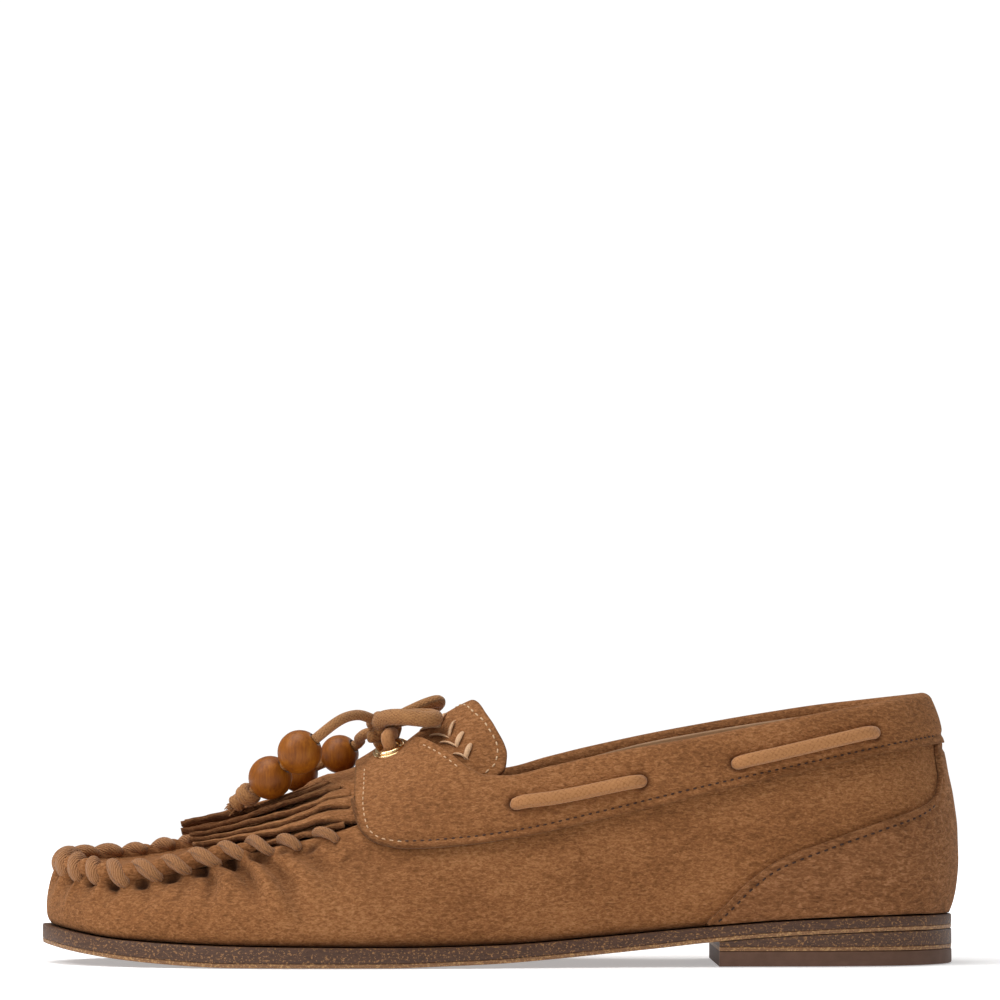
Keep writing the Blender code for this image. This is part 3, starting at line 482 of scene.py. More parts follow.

# %% [markdown]
# ## The bow
# The collar lace comes up through an eyelet on each side and is tied over the instep. Two loops lie
# back over the tongue, two ends hang forward over the fringe, and one wrap of the lace holds them
# all. The loops and ends are free cord: they have a real length and thickness. Each end carries two
# beads and is stopped by a double knot.

# %% Bow loops
LOOP_RADII = {"lateral": 2.3, "medial": 1.85}
END_RADIUS = 1.5
KNOT = middle_of("bow_knot")
LOOPS = {
    "lateral": [(-33.0, -2.6, 68.2), (-30.2, -4.8, 68.8), (-26.0, -7.0, 69.6), (-22.0, -8.2, 69.8),
                (-19.2, -10.0, 69.6), (-18.4, -12.6, 69.2), (-20.0, -14.8, 68.8), (-24.0, -15.4, 69.2),
                (-28.5, -13.6, 69.6), (-32.2, -10.0, 69.4), (-34.2, -6.9, 68.4), (-34.0, -4.0, 67.6)],
    "medial": [(-33.0, 2.8, 68.4), (-30.0, 5.0, 69.4), (-26.0, 6.6, 71.4), (-21.6, 8.4, 73.4),
               (-18.4, 10.6, 74.4), (-17.6, 13.2, 74.0), (-19.6, 15.2, 72.4), (-24.0, 14.6, 71.2),
               (-28.6, 12.2, 70.4), (-32.8, 9.4, 69.4), (-35.0, 6.4, 68.4), (-34.6, 4.0, 67.4)],
}
for side, route in LOOPS.items():
    path = through(route, 0.7)
    radius = LOOP_RADII[side]
    loop = cord_piece("bow_loop_" + side + "_cord", [tube_mesh(path, radius, 20)], [CORD],
                      slot="cord", stands_for=["bow_loop_" + side])
    print(loop.name, round(path_length(path), 1), "mm")

# %% [markdown]
# The knot is a core with two coils of the lace round it, two strands that cross over its top, and
# one short stub that comes out toward the toe.

# %% Knot of the bow
def ring_path(centre, axis, radius, start, turns, rise, squash=1.0):
    """A coil about an axis through centre: radius, first angle and turns, and how far it climbs."""
    axis = np.array(axis, float) / np.linalg.norm(axis)
    first = np.cross(axis, (0.0, 0.0, 1.0))
    if np.linalg.norm(first) < 0.2:
        first = np.cross(axis, (1.0, 0.0, 0.0))
    first /= np.linalg.norm(first)
    second = np.cross(axis, first)
    t = np.linspace(0.0, 1.0, int(40 * turns) + 2)[:, None]
    angle = math.radians(start) + t * turns * 2 * math.pi
    return (np.array(centre) + first * np.cos(angle) * radius + second * np.sin(angle) * radius * squash
            + axis * (t - 0.5) * rise)


KNOT_CORD = 1.7
KNOT_STUB = 1.75  # the cut end that sticks out toward the toe
KNOT_CORE = 3.0
knot_parts = [
    tube_mesh(ring_path(KNOT + (-1.9, 0.0, 0.6), (1.0, 0.25, 0.12), 3.0, 20, 1.05, 1.2, 1.25), KNOT_CORD),
    tube_mesh(ring_path(KNOT + (1.4, 0.0, 0.4), (1.0, -0.2, -0.25), 2.9, 200, 1.05, 1.4, 1.2), KNOT_CORD),
    tube_mesh(through([KNOT + (-3.6, -3.4, -1.6), KNOT + (-1.2, -4.0, 1.2), KNOT + (1.8, -3.2, 3.0),
                       KNOT + (3.6, 0.0, 2.6)]), KNOT_CORD),
    tube_mesh(through([KNOT + (-5.0, -1.0, 2.2), KNOT + (-3.0, 1.0, 2.8), KNOT + (0.0, 1.6, 3.4),
                       KNOT + (3.0, 2.6, 2.4)]), KNOT_CORD),
    tube_mesh(through([KNOT + (-3.2, 0.0, -0.4), KNOT, KNOT + (3.2, 0.0, -0.2)]), KNOT_CORE, 18),
    tube_mesh(through([KNOT + (-1.0, -2.4, -1.2), KNOT + (-3.2, -4.2, -1.3),
                       KNOT + (-5.4, -5.2, -1.5)]), KNOT_STUB),
]
bow_knot = cord_piece("bow_knot_wraps", knot_parts, [CORD], slot="cord", stands_for=["bow_knot"])
print(bow_knot.name, len(bow_knot.data.polygons), "faces")

# %% [markdown]
# ## Beads
# The beads are turned from a plain hardwood, stained orange brown and tumbled in clear lacquer. The
# lacquer is a thin clear coat over a soft wood gloss. Fine streaks run upright through the wood over
# faint growth rings about 4 mm apart, and painted shade darkens the wood inside each hole and round its
# mouths, where the cord goes in.

# %% Lacquered wood
RING_GAP = 4.2
WOOD, tree, shader = new_material("lacquered_turned_hardwood", Roughness=0.5, IOR=1.5,
                                  Specular_IOR_Level=0.22, Coat_Weight=0.1, Coat_Roughness=0.34)
where = place_of(tree, (1.0, 1.0, 0.28))
rings = add(tree, "ShaderNodeTexWave", {"Vector": where, "Scale": ONE_BAND / (RING_GAP * MM),
            "Distortion": 3.2, "Detail": 2.5, "Detail Scale": 1.6}, wave_type="BANDS",
            bands_direction="X").outputs["Fac"]
streaks = noise(tree, place_of(tree, (1.0, 1.0, 0.12)), 0.7, 3.0, 0.6)
patches = noise(tree, place_of(tree), 5.0, 2.0)
tone = weighted(tree, (levels(tree, streaks, 0.3, 0.7), 0.45), (rings, 0.14),
                (levels(tree, patches, 0.35, 0.65), 0.25))
wood_colour = ramp(tree, tone, [(0.1, "#6e3806"), (0.5, "#8d4f0c"), (0.9, "#a86814")])
# Painted shade: the wood goes dark where a bead carries "shade", in its bore and round its mouths.
tree.links.new(shaded(tree, wood_colour, "#2b1407"), shader.inputs["Base Color"])
tree.links.new(bumped(tree, streaks, 0.05, 0.4), shader.inputs["Normal"])

# %% [markdown]
# Each bead is a profile spun about its bore, which is where the frame's joint for it lies: a ball
# with a rounded lip at both mouths of a straight hole.

# %% Turn the beads
def turned_mesh(profile, centre, axis, steps=40):
    """Points and faces of a closed profile of (radius, height) spun about an axis."""
    turn = np.array(Vector(axis).to_track_quat("Z", "X").to_matrix())
    angle = np.arange(steps) * 2 * math.pi / steps
    r, h = np.array(profile, float).T
    points = np.stack([r[:, None] * np.cos(angle), r[:, None] * np.sin(angle),
                       np.broadcast_to(h[:, None], (len(r), steps))], axis=-1)
    points = points.reshape(-1, 3) @ turn.T + centre
    k = np.arange(steps)
    faces = []
    for ring in range(len(r)):
        a = ring * steps + k
        b = ring * steps + (k + 1) % steps
        shift = steps if ring < len(r) - 1 else -ring * steps
        faces += np.column_stack([a, b, b + shift, a + shift]).tolist()
    return points, faces


def bead_radius(node):
    """Radius of a bead, in millimetres: half its node's width."""
    low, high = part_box(node)
    return (high[1] - low[1]) / 2 / MM


BORE_RADIUS = 1.62
BEAD_LIP = 0.2  # how far the rounded lip of the bore reaches outward
CHAMFER = 0.12
BORE_SHADE_REACH = 2.4  # painted shade darkens the wood closer than this to the bore's axis
for side in ("lateral", "medial"):
    for number in (1, 2):
        node = f"bead_{side}_{number}"
        centre, axis = joint_of(f"bead_spin_{side}_{number}")
        radius = bead_radius(node)
        lip = math.asin((BORE_RADIUS + BEAD_LIP) / radius)
        angles = np.linspace(lip, math.pi - lip, 27)
        profile = [(radius * math.sin(a), radius * math.cos(a)) for a in angles]
        depth = radius * math.cos(lip)
        profile += [(BORE_RADIUS + CHAMFER, -depth + 0.2), (BORE_RADIUS, -depth + 0.7),
                    (BORE_RADIUS, depth - 0.7), (BORE_RADIUS + CHAMFER, depth - 0.2)]
        points, faces = turned_mesh(profile, centre, axis)
        # painted shade inside each bore and round its mouths
        from_axis = np.linalg.norm(np.cross(points - centre, axis), axis=1)
        bead = mesh_piece(node + "_wood", points, faces, [WOOD], slot="wood", stands_for=[node], body=node,
                          shade=(BORE_SHADE_REACH - from_axis) / 0.7)
        faces_out(bead)
        print(bead.name, "radius", round(radius, 2), "mm")

# %% [markdown]
# Each end leaves the bow, passes through its two beads and stops in a double knot, from which the
# cut yarns fan out. The knot and its yarns ride with the hanging end's body.

# %% Hanging ends and their knots
END_ROUTES = {
    "lateral": [(-34.6, -1.8, 68.2), (-37.0, -4.0, 69.3), (-40.0, -7.4, 70.2), (-43.4, -11.2, 69.6),
                (-46.6, -14.6, 67.8)],
    "medial": [(-36.0, 2.2, 65.4), (-38.6, 4.0, 65.0), (-40.6, 8.4, 63.6)],
}


GOLDEN_TURN = 2.39996
YARNS = 16
YARN = 0.2


def frayed_end(tip, axis, radius):
    """Loose yarn ends that fan out of a cut cord: the same fan each time."""
    parts = []
    turn = np.array(Vector(axis).to_track_quat("Z", "X").to_matrix())
    for k in range(YARNS):
        angle = k * GOLDEN_TURN
        reach = radius * math.sqrt((k + 0.5) / YARNS)
        base = np.array([math.cos(angle) * reach, math.sin(angle) * reach, -0.6])
        length = 1.5 + 1.1 * abs(math.sin(k * 1.7))
        spread = 0.5 + 0.35 * math.sin(k * 2.3)
        end = base * (1, 1, 0) * (1 + spread) + (0.25 * math.sin(k * 3.1), 0.25 * math.cos(k * 2.1), length)
        bend = (base + end) / 2 + (0.2 * math.cos(k * 1.3), 0.2 * math.sin(k * 1.9), 0.1)
        parts.append(tube_mesh(through(np.array([base, bend, end]) @ turn.T + tip, 0.4), YARN, 6))
    return parts


for side, route in END_ROUTES.items():
    beads = [joint_of(f"bead_spin_{side}_{k}") for k in (1, 2)]
    body = "hanging_end_" + side
    knot = middle_of("end_knot_" + side)
    points = list(route)
    for k, (centre, axis) in enumerate(beads):
        radius = bead_radius(f"bead_{side}_{k + 1}")
        inside = radius - 2.4
        before = radius + 1.2 if k == 0 else inside
        points += [centre - axis * before, centre + axis * inside]
    drop = knot - beads[1][0]
    drop /= np.linalg.norm(drop)
    points.append(knot + drop * 1.5)
    path = through(points, 0.7)
    end = cord_piece(f"lace_end_{side}_cord", [tube_mesh(path, END_RADIUS, 20)], [CORD],
                     slot="cord", stands_for=["lace_end_" + side], body=None)
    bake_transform(end)
    high = knot - drop * 1.2
    low = knot + drop * 2.9
    cross = np.cross(drop, (0.0, 0.0, 1.0))
    tip = knot + drop * 4.6
    parts = [tube_mesh(ring_path(high, drop + cross * 0.35, 2.0, 30, 1.9, 3.0), 1.5),
             tube_mesh(ring_path(low, drop - cross * 0.4, 1.25, 120, 1.5, 1.6), 1.35),
             tube_mesh(through([knot - drop * 2.6, knot, tip]), 1.7)]
    parts += frayed_end(tip, drop, 1.3)
    stop = cord_piece(f"end_knot_{side}_wraps", parts, [CORD], slot="cord",
                      stands_for=["end_knot_" + side], body=body)
    print(end.name, round(path_length(path), 1), "mm")

# %% [markdown]
# ## The last under the leather
# A shoe is built over a last, and so is this one. The frame's upper is laid on one smooth surface: a
# ring of ribs that rise from the edge of the sole. u counts the ribs round the shoe (0 at the heel, 13
# at the toe, 26 back at the heel) and v runs up each rib, from 0 at the sole to 1 at the ridge or the
# ankle. The same ribs are written here, in millimetres, because a skin with pleats and rolled edges
# needs a far finer mesh than the frame's, laid on exactly the same shape.

# %% Ribs and lines of the last
GAP = 0.3
WELT = 2.2
TOE_ROW = 13
ROWS = 26
HIGHEST_V = 0.955

# One row for each rib: sole edge (x, y); lower pull outward and up; upper pull; top.
RIBS = [
    ((128.7, 0.0), (7.0, 16.0), (127.0, 0.0, 58.0), (118.0, 0.0, 88.0)),
    ((124.5, -14.5), (6.0, 16.0), (120.5, -13.0, 58.0), (112.5, -8.5, 88.0)),
    ((112.5, -26.0), (5.0, 16.0), (109.0, -23.5, 57.0), (102.0, -15.0, 87.0)),
    ((92.0, -31.0), (5.0, 17.0), (91.0, -29.5, 55.0), (86.0, -21.0, 86.0)),
    ((66.0, -32.5), (5.0, 17.0), (65.0, -33.0, 52.0), (61.0, -25.0, 84.0)),
    ((38.0, -34.5), (5.0, 18.0), (37.0, -35.0, 50.0), (33.0, -25.0, 82.0)),
    ((13.0, -38.5), (5.0, 20.0), (11.0, -38.0, 58.0), (4.0, 0.0, 88.0)),
    ((-11.0, -42.5), (6.0, 24.0), (-10.0, -22.0, 77.0), (-8.0, 0.0, 79.5)),
    ((-36.0, -45.5), (6.0, 24.0), (-35.0, -17.0, 58.8), (-35.0, 0.5, 59.3)),
    ((-62.0, -45.5), (5.5, 18.0), (-62.0, -18.0, 44.5), (-62.0, 4.0, 45.0)),
    ((-88.0, -39.5), (6.0, 13.0), (-88.0, -15.0, 36.0), (-86.0, 7.0, 38.0)),
    ((-109.0, -29.5), (6.0, 12.0), (-107.0, -11.0, 33.5), (-99.0, 7.0, 35.8)),
    ((-124.0, -14.0), (6.0, 12.0), (-113.5, -2.0, 34.4), (-106.0, 6.8, 35.0)),
    ((-131.0, 5.0), (6.0, 12.0), (-116.5, 5.5, 35.4), (-108.0, 6.5, 34.8)),
    ((-125.5, 22.5), (6.0, 12.0), (-113.5, 14.0, 35.4), (-106.0, 6.8, 35.0)),
    ((-111.0, 33.5), (6.0, 13.0), (-107.0, 22.0, 35.6), (-99.0, 7.0, 35.8)),
    ((-89.0, 40.5), (6.0, 15.0), (-88.0, 24.0, 38.6), (-86.0, 7.0, 38.0)),
    ((-63.0, 43.5), (5.5, 20.0), (-62.0, 24.0, 45.4), (-62.0, 4.0, 45.0)),
    ((-37.0, 42.0), (6.0, 26.0), (-35.0, 18.0, 59.5), (-35.0, 0.5, 59.3)),
    ((-12.0, 37.5), (7.0, 26.0), (-10.0, 22.0, 77.4), (-8.0, 0.0, 79.5)),
    ((12.0, 32.0), (8.0, 22.0), (11.0, 35.0, 59.0), (4.0, 0.0, 88.0)),
    ((37.0, 28.0), (8.0, 20.0), (37.0, 32.0, 52.0), (33.0, 24.0, 84.0)),
    ((66.0, 28.5), (6.0, 19.0), (65.0, 32.0, 53.0), (61.0, 25.0, 86.0)),
    ((92.0, 30.5), (5.0, 17.0), (91.0, 29.5, 55.5), (86.0, 21.0, 87.0)),
    ((112.5, 26.5), (5.0, 16.0), (109.0, 24.0, 57.5), (102.0, 15.0, 88.0)),
    ((124.5, 15.0), (6.0, 16.0), (120.5, 13.5, 58.5), (112.5, 8.5, 88.0)),
]

# Heights of the sole's two faces along the shoe, as (x, z).
SOLE_TOP = [(-131, 10.9), (-105, 7.2), (-71, 5.8), (-28, 5.5), (0, 6.1), (29, 8.3), (57, 10.8),
            (86, 12.8), (115, 13.8), (129, 13.9)]
SOLE_BOTTOM = [(-131, 5.6), (-118, 3.4), (-105, 1.8), (-88, 0.5), (-75, 0.0), (-30, 0.0), (-14, 0.5),
               (0, 1.1), (14, 2.2), (29, 3.6), (43, 5.0), (61, 6.9), (86, 8.7), (115, 9.7), (129, 9.8)]

# Lines on the upper as (x, z), each a lateral and a medial list.
SEAM = ([(-124, 28.2), (-117, 26.2), (-105, 24.8), (-95, 26.0), (-85, 28.2), (-72, 31.4), (-60, 34.0),
         (-50, 36.6), (-44, 38.4)],
        [(-124, 28.2), (-117, 28.4), (-105, 29.2), (-95, 30.8), (-85, 32.6), (-72, 35.0), (-60, 37.5),
         (-50, 40.2), (-44, 42.0)])
WRAP_TOP = (SEAM[0] + [(-36, 41.0), (-25, 43.0), (-10, 42.6), (3, 42.4), (42, 49.6), (66, 54.0),
                       (109, 63.2), (126, 66.5)],
            SEAM[1] + [(-36, 44.0), (-25, 45.5), (-10, 44.5), (3, 43.5), (42, 51.0), (66, 55.4),
                       (109, 64.0), (126, 66.5)])
BAND_BOTTOM = ([(-40.4, 45.0), (-39.4, 39.6), (-37.6, 36.2), (-33.5, 33.6), (-26, 32.4), (-8, 33.6),
                (9, 36.2), (29, 40.7), (57, 47.5), (86, 54.0), (115, 60.2), (127, 62.3)],
               [(-40.4, 47.0), (-39.4, 41.6), (-37.6, 38.2), (-33.5, 35.6), (-26, 34.4), (-8, 35.6),
                (9, 38.2), (29, 42.4), (57, 49.0), (86, 55.2), (115, 60.6), (127, 62.3)])
TOPLINE = ([(-40.4, 56.0), (-33, 60.6), (-28, 62.3), (-22, 63.0), (-18.5, 61.6), (-14, 58.8),
            (-8.4, 54.8), (-3.5, 53.3), (2, 53.3), (14, 55.8), (26, 58.6), (59, 64.6), (92, 71.2),
            (108, 74.1), (122, 77.0)],
           [(-40.4, 56.4), (-33, 61.0), (-28, 62.7), (-22, 63.6), (-18.5, 62.4), (-14, 59.9),
            (-8.4, 56.4), (-3.5, 55.2), (2, 55.7), (14, 58.8), (26, 61.8), (59, 68.4), (92, 73.8),
            (108, 75.6), (122, 77.0)])
LACE_LINE = ([(-36, 59.5), (-30.5, 59.5), (-18, 54.0), (-10, 50.6), (-3, 47.8), (2.4, 45.4), (42.5, 52.7),
              (66, 57.0), (109, 66.4), (126, 69.6)],
             [(-36, 60.0), (-30.5, 60.0), (-18, 55.0), (-10, 52.0), (-3, 49.2), (2.4, 46.8), (42.5, 54.3),
              (66, 58.8), (109, 67.2), (126, 69.6)])
FOXING_EDGE = [(57.5, 12.4), (62.6, 17.0), (69, 23.4), (77.4, 29.3), (92, 35.0), (106, 39.8),
               (117, 43.6), (122.5, 47.0), (124.4, 53.0), (125.6, 61.6)]

# %% [markdown]
# Two kinds of curve are enough: a closed one through the ribs' keys, and a height along x that never
# swings past its keys.

# %% Smooth curves
def closed_curve(keys, u):
    """Point at u on a smooth closed curve that passes through key k at u = k."""
    keys = np.asarray(keys, float)
    u = np.asarray(u, float)
    k = np.floor(u).astype(int)
    t = (u - k)[..., None]
    before, here, after, beyond = (keys[(k + step) % len(keys)] for step in (-1, 0, 1, 2))
    bend = 2 * before - 5 * here + 4 * after - beyond
    twist = 3 * (here - after) + beyond - before
    return here + 0.5 * t * (after - before + t * (bend + t * twist))


def smooth(keys, x):
    """Height at x on a smooth line through (x, height) keys that doesn't overshoot them."""
    xs, heights = np.array(keys, float).T
    x = np.clip(x, xs[0], xs[-1])
    step = np.diff(xs)
    rise = np.diff(heights) / step
    same_way = rise[1:] * rise[:-1] > 0
    total = np.where(same_way, rise[1:] + rise[:-1], 1.0)
    inner = np.where(same_way, 2 * rise[1:] * rise[:-1] / total, 0.0)
    slope = np.concatenate([rise[:1], inner, rise[-1:]])
    k = np.clip(np.searchsorted(xs, x) - 1, 0, len(xs) - 2)
    t = (x - xs[k]) / step[k]
    start = (1 + 2 * t) * (1 - t) ** 2 * heights[k] + t * (1 - t) ** 2 * step[k] * slope[k]
    end = t * t * (3 - 2 * t) * heights[k + 1] + t * t * (t - 1) * step[k] * slope[k + 1]
    return start + end


# %% [markdown]
# Each rib is a cubic curve with four control points. Lines on the upper are found on it by halving,
# and everything laid on the last is moved out along its normal.

# %% The last as a surface
EDGE_KEYS = [rib[0] for rib in RIBS]
PULL_KEYS = [rib[1] for rib in RIBS]
UPPER_KEYS = [rib[2] for rib in RIBS]
TOP_KEYS = [rib[3] for rib in RIBS]


def sole_edge(u, inset=0.0):
    """Plan point (x, y) on the sole's outline, moved inward by inset, and the outward direction."""
    step = 0.01
    along = closed_curve(EDGE_KEYS, u + step) - closed_curve(EDGE_KEYS, u - step)
    along /= np.linalg.norm(along, axis=-1, keepdims=True)
    outward = np.stack([-along[..., 1], along[..., 0]], axis=-1)
    return closed_curve(EDGE_KEYS, u) - outward * inset, outward


def rib_point(u, v):
    """Point on the reference surface."""
    u, v = np.broadcast_arrays(np.asarray(u, float), np.asarray(v, float))
    foot, outward = sole_edge(u, WELT)
    foot_z = smooth(SOLE_TOP, foot[..., 0]) + GAP
    pull = closed_curve(PULL_KEYS, u)
    foot = np.concatenate([foot, foot_z[..., None]], axis=-1)
    outward = np.concatenate([outward * pull[..., :1], pull[..., 1:]], axis=-1)
    lower = foot + outward
    upper = closed_curve(UPPER_KEYS, u)
    top = closed_curve(TOP_KEYS, u)
    v = v[..., None]
    w = 1.0 - v
    return w ** 3 * foot + 3 * w * w * v * lower + 3 * w * v * v * upper + v ** 3 * top


def rib_normal(u, v):
    """Outward direction of the reference surface; both sides agree along the ridge."""
    step = 0.004

    def one_side(u, v):
        v = np.minimum(v, 0.985)
        along = rib_point(u + step, v) - rib_point(u - step, v)
        up = rib_point(u, v + step) - rib_point(u, v - step)
        normal = np.cross(up, along)
        return normal / np.linalg.norm(normal, axis=-1, keepdims=True)

    u, v = np.broadcast_arrays(np.asarray(u, float), np.asarray(v, float))
    normal = one_side(u, v)
    share = np.clip((v - 0.9) / 0.1, 0.0, 1.0)[..., None] * 0.5
    normal = normal * (1 - share) + one_side(ROWS - u, v) * share
    return normal / np.linalg.norm(normal, axis=-1, keepdims=True)


def surface(u, v, offset=0.0):
    """Point on the reference surface moved out along its normal by offset."""
    u, v, offset = np.broadcast_arrays(np.asarray(u, float), v, offset)
    return rib_point(u, v) + rib_normal(u, v) * offset[..., None]


def line_z(line, u, x):
    """Height of a line on the upper at x, on the side of the shoe where u is."""
    medial = np.mod(u, ROWS) > TOE_ROW
    return np.where(medial, smooth(line[1], x), smooth(line[0], x))


def v_at(u, line, shift=0.0):
    """How far up each rib a line crosses it; shift moves the line up in millimetres."""
    u = np.asarray(u, float)
    low = np.zeros_like(u)
    high = np.full_like(u, HIGHEST_V)
    for _ in range(28):
        middle = (low + high) / 2
        point = rib_point(u, middle)
        under = point[..., 2] < line_z(line, u, point[..., 0]) + shift
        low = np.where(under, middle, low)
        high = np.where(under, high, middle)
    return (low + high) / 2


def v_at_height(u, above_sole):
    """How far up each rib the surface is this much above the sole."""
    flat = [(x, z + above_sole) for x, z in SOLE_TOP]
    return v_at(u, (flat, flat))


def rib_where(medial, x, line):
    """The u of the rib that a line crosses at x, on the lateral or the medial side."""
    rows = np.linspace(0.0, 9.5, 191)
    rows = ROWS - rows if medial else rows
    crossing_x = rib_point(rows, v_at(rows, line))[:, 0]
    return np.interp(x, crossing_x[::-1], rows[::-1])


def up_the_rib(u, v, distance):
    """The v that lies this many millimetres further up the rib."""
    step = 0.01
    speed = np.linalg.norm(rib_point(u, v + step) - rib_point(u, v - step), axis=-1) / (2 * step)
    return v + distance / speed


def outline_row(x, medial=False, count=521):
    """The u of the row where the sole's outline passes x."""
    rows = np.linspace(0.0, TOE_ROW, count)
    edge_x = sole_edge(ROWS - rows if medial else rows)[0][:, 0]
    return float(np.interp(x, edge_x[::-1], rows[::-1]))


foot_x = rib_point(np.linspace(0.0, ROWS, 261), 0.0)[:, 0]

# %% [markdown]
# ## Skins
# Every leather piece is a skin: a fine grid of points on the last, lifted by the thickness of what
# lies under it and by its own relief, then given its thickness inward with Solidify. Solidify's rim
# takes a second material, because a cut edge of suede is darker and hairier than its face.

# %% Make a skin
def grid_faces(columns, rows):
    """Quads of a grid, facing outward."""
    i, j = np.meshgrid(np.arange(columns - 1), np.arange(rows - 1), indexing="ij")
    a = (i * rows + j).ravel()
    b = a + rows
    return np.column_stack([a, a + 1, b + 1, b])


def edge_shade(grid, reach=0.9, depth=0.45, sides=(1, 1, 1, 1)):
    """Shade that darkens towards the grid's edges: first and last column, first and last row."""
    across = np.linalg.norm(np.diff(grid, axis=1), axis=-1)
    up = np.concatenate([np.zeros((len(grid), 1)), np.cumsum(across, axis=1)], axis=1)
    along = np.linalg.norm(np.diff(grid, axis=0), axis=-1)
    out = np.concatenate([np.zeros((1, grid.shape[1])), np.cumsum(along, axis=0)], axis=0)
    gaps = (out, out[-1:] - out, up, up[:, -1:] - up)
    total = np.zeros(grid.shape[:2])
    for gap, used in zip(gaps, sides):
        if used:
            total = np.maximum(total, np.exp(-(gap / reach) ** 2))
    return total * depth


def skin(name, grid, thickness, materials, shade, **rest):
    """A skin through a grid of points, thickened inward."""
    faces = grid_faces(*grid.shape[:2]).tolist()
    piece = mesh_piece(name, grid.reshape(-1, 3), faces, materials, shade=shade, **rest)
    solidify = piece.modifiers.new("thickness", "SOLIDIFY")
    solidify.thickness = thickness * MM
    solidify.offset = -1.0
    solidify.material_offset_rim = 1 if len(materials) > 1 else 0
    return piece


def ripple(p, size, seed):
    """Slow waves in space about size millimetres long, from -1 to 1, the same each run."""
    k = 2 * math.pi / size
    x, y, z = p[..., 0], p[..., 1], p[..., 2]
    return (np.sin(k * (x + 0.6 * y) + seed) * np.cos(k * (0.8 * z - 0.3 * x) + 1.7 * seed)
            + np.sin(k * (0.7 * x - z) * 1.7 + 2.3 * seed) * 0.5) / 1.5


print("skins can be cut")

# %% [markdown]
# ## The gathered seam
# The vamp is longer round the toe than the plug it is sewn to, so the whip lace draws it into
# pleats: between each two stitches the suede stands up in a small ridge, and where the vamp has most
# to lose, at the side of the toe, the ridges run out into long folds. The first two stitches, beside
# the kiltie, are loose; from the second on they are spaced evenly along the seam. Their places are
# worked out first, because pleats, pockets and lace all use them.

# %% Stitch places along the seam
STITCH_PITCH = 8.3
LOOSE_GAP = 10.6
seam_u = np.linspace(8.36, ROWS - 8.9, 900)
seam_points = rib_point(seam_u, v_at(seam_u, SEAM))
seam_length = np.concatenate([[0.0], np.cumsum(np.linalg.norm(np.diff(seam_points, axis=0), axis=1))])
FIRST_STITCH_X = -48.8
first_s = float(np.interp(FIRST_STITCH_X, seam_points[:300, 0][::-1], seam_length[:300][::-1]))
stitch_s = np.arange(first_s + LOOSE_GAP, seam_length[-1] - 1.0, STITCH_PITCH)
row_s = stitch_s[0]
stitch_s = np.concatenate([[first_s], stitch_s])
stitch_u = np.interp(stitch_s, seam_length, seam_u)
LOOSE_STITCHES = 2
print(len(stitch_s), "whip stitches on", round(seam_length[-1]), "mm of seam")


def seam_frame(u):
    """Point on the seam, normal, direction along the seam (u rising) and down the rib."""
    v = v_at(u, SEAM)
    point = rib_point(u, v)
    normal = rib_normal(u, v)
    ahead = rib_point(u + 0.02, v_at(u + 0.02, SEAM)) - point
    along = ahead / np.linalg.norm(ahead, axis=-1, keepdims=True)
    down = np.cross(normal, along)
    down *= np.sign(-down[..., 2:3])
    return point, normal, along, down


# %% [markdown]
# The long folds are listed one by one, because no two are alike. The small pleats come from the
# stitch places, and die away down the vamp.

# %% Relief of the vamp
FOLDS = [  # start (x, z), end (x, z), half width, height: valleys are below 0
    ((-83.4, 28.4), (-80.4, 18.0), 1.3, -0.95), ((-80.4, 28.6), (-74.5, 19.5), 1.9, 0.75),
    ((-76.2, 29.6), (-67.5, 20.0), 1.6, -1.35), ((-73.0, 30.8), (-59.5, 17.0), 2.2, 1.15),
    ((-68.4, 31.0), (-55.5, 16.5), 1.9, -1.15), ((-63.0, 32.0), (-50.0, 20.0), 2.2, 0.5),
    ((-57.5, 31.6), (-45.0, 22.5), 1.9, -0.7), ((-91.0, 25.6), (-88.5, 18.5), 1.6, -0.5),
    ((-100.0, 23.6), (-99.0, 17.5), 1.4, -0.45), ((-108.5, 23.4), (-108.5, 18.5), 1.3, -0.45),
    ((-43.0, 30.0), (-30.0, 20.0), 4.0, -0.35), ((-96.0, 16.0), (-60.0, 11.5), 3.5, 0.35),
]


FOLD_DEPTH = 2.4
FOLD_WIDEN = 1.3
MEDIAL_LIFT = 2.6  # the seam and its folds lie higher on the medial side
FOLD_BOW = 1.6


def fold_relief(p):
    """Height of the long folds at points on the vamp, the same on both sides."""
    x, z = p[..., 0], p[..., 2]
    total = np.zeros_like(x)
    lift = np.where(p[..., 1] > 0, MEDIAL_LIFT, 0.0)
    for (x0, z0), (x1, z1), width, height in FOLDS:
        length = math.hypot(x1 - x0, z1 - z0)
        ux, uz = (x1 - x0) / length, (z1 - z0) / length
        along = ((x - x0) * ux + (z - lift - z0) * uz) / length
        bow = FOLD_BOW * np.sin(math.pi * np.clip(along, 0.0, 1.0))
        across = (-(x - x0) * uz + (z - lift - z0) * ux - bow) / FOLD_WIDEN
        fade = np.clip((along + 0.08) / 0.12, 0.0, 1.0) * np.clip((1.35 - along) / 0.8, 0.0, 1.0)
        total += FOLD_DEPTH * height * np.exp(-(across / width) ** 2) * fade
    return total


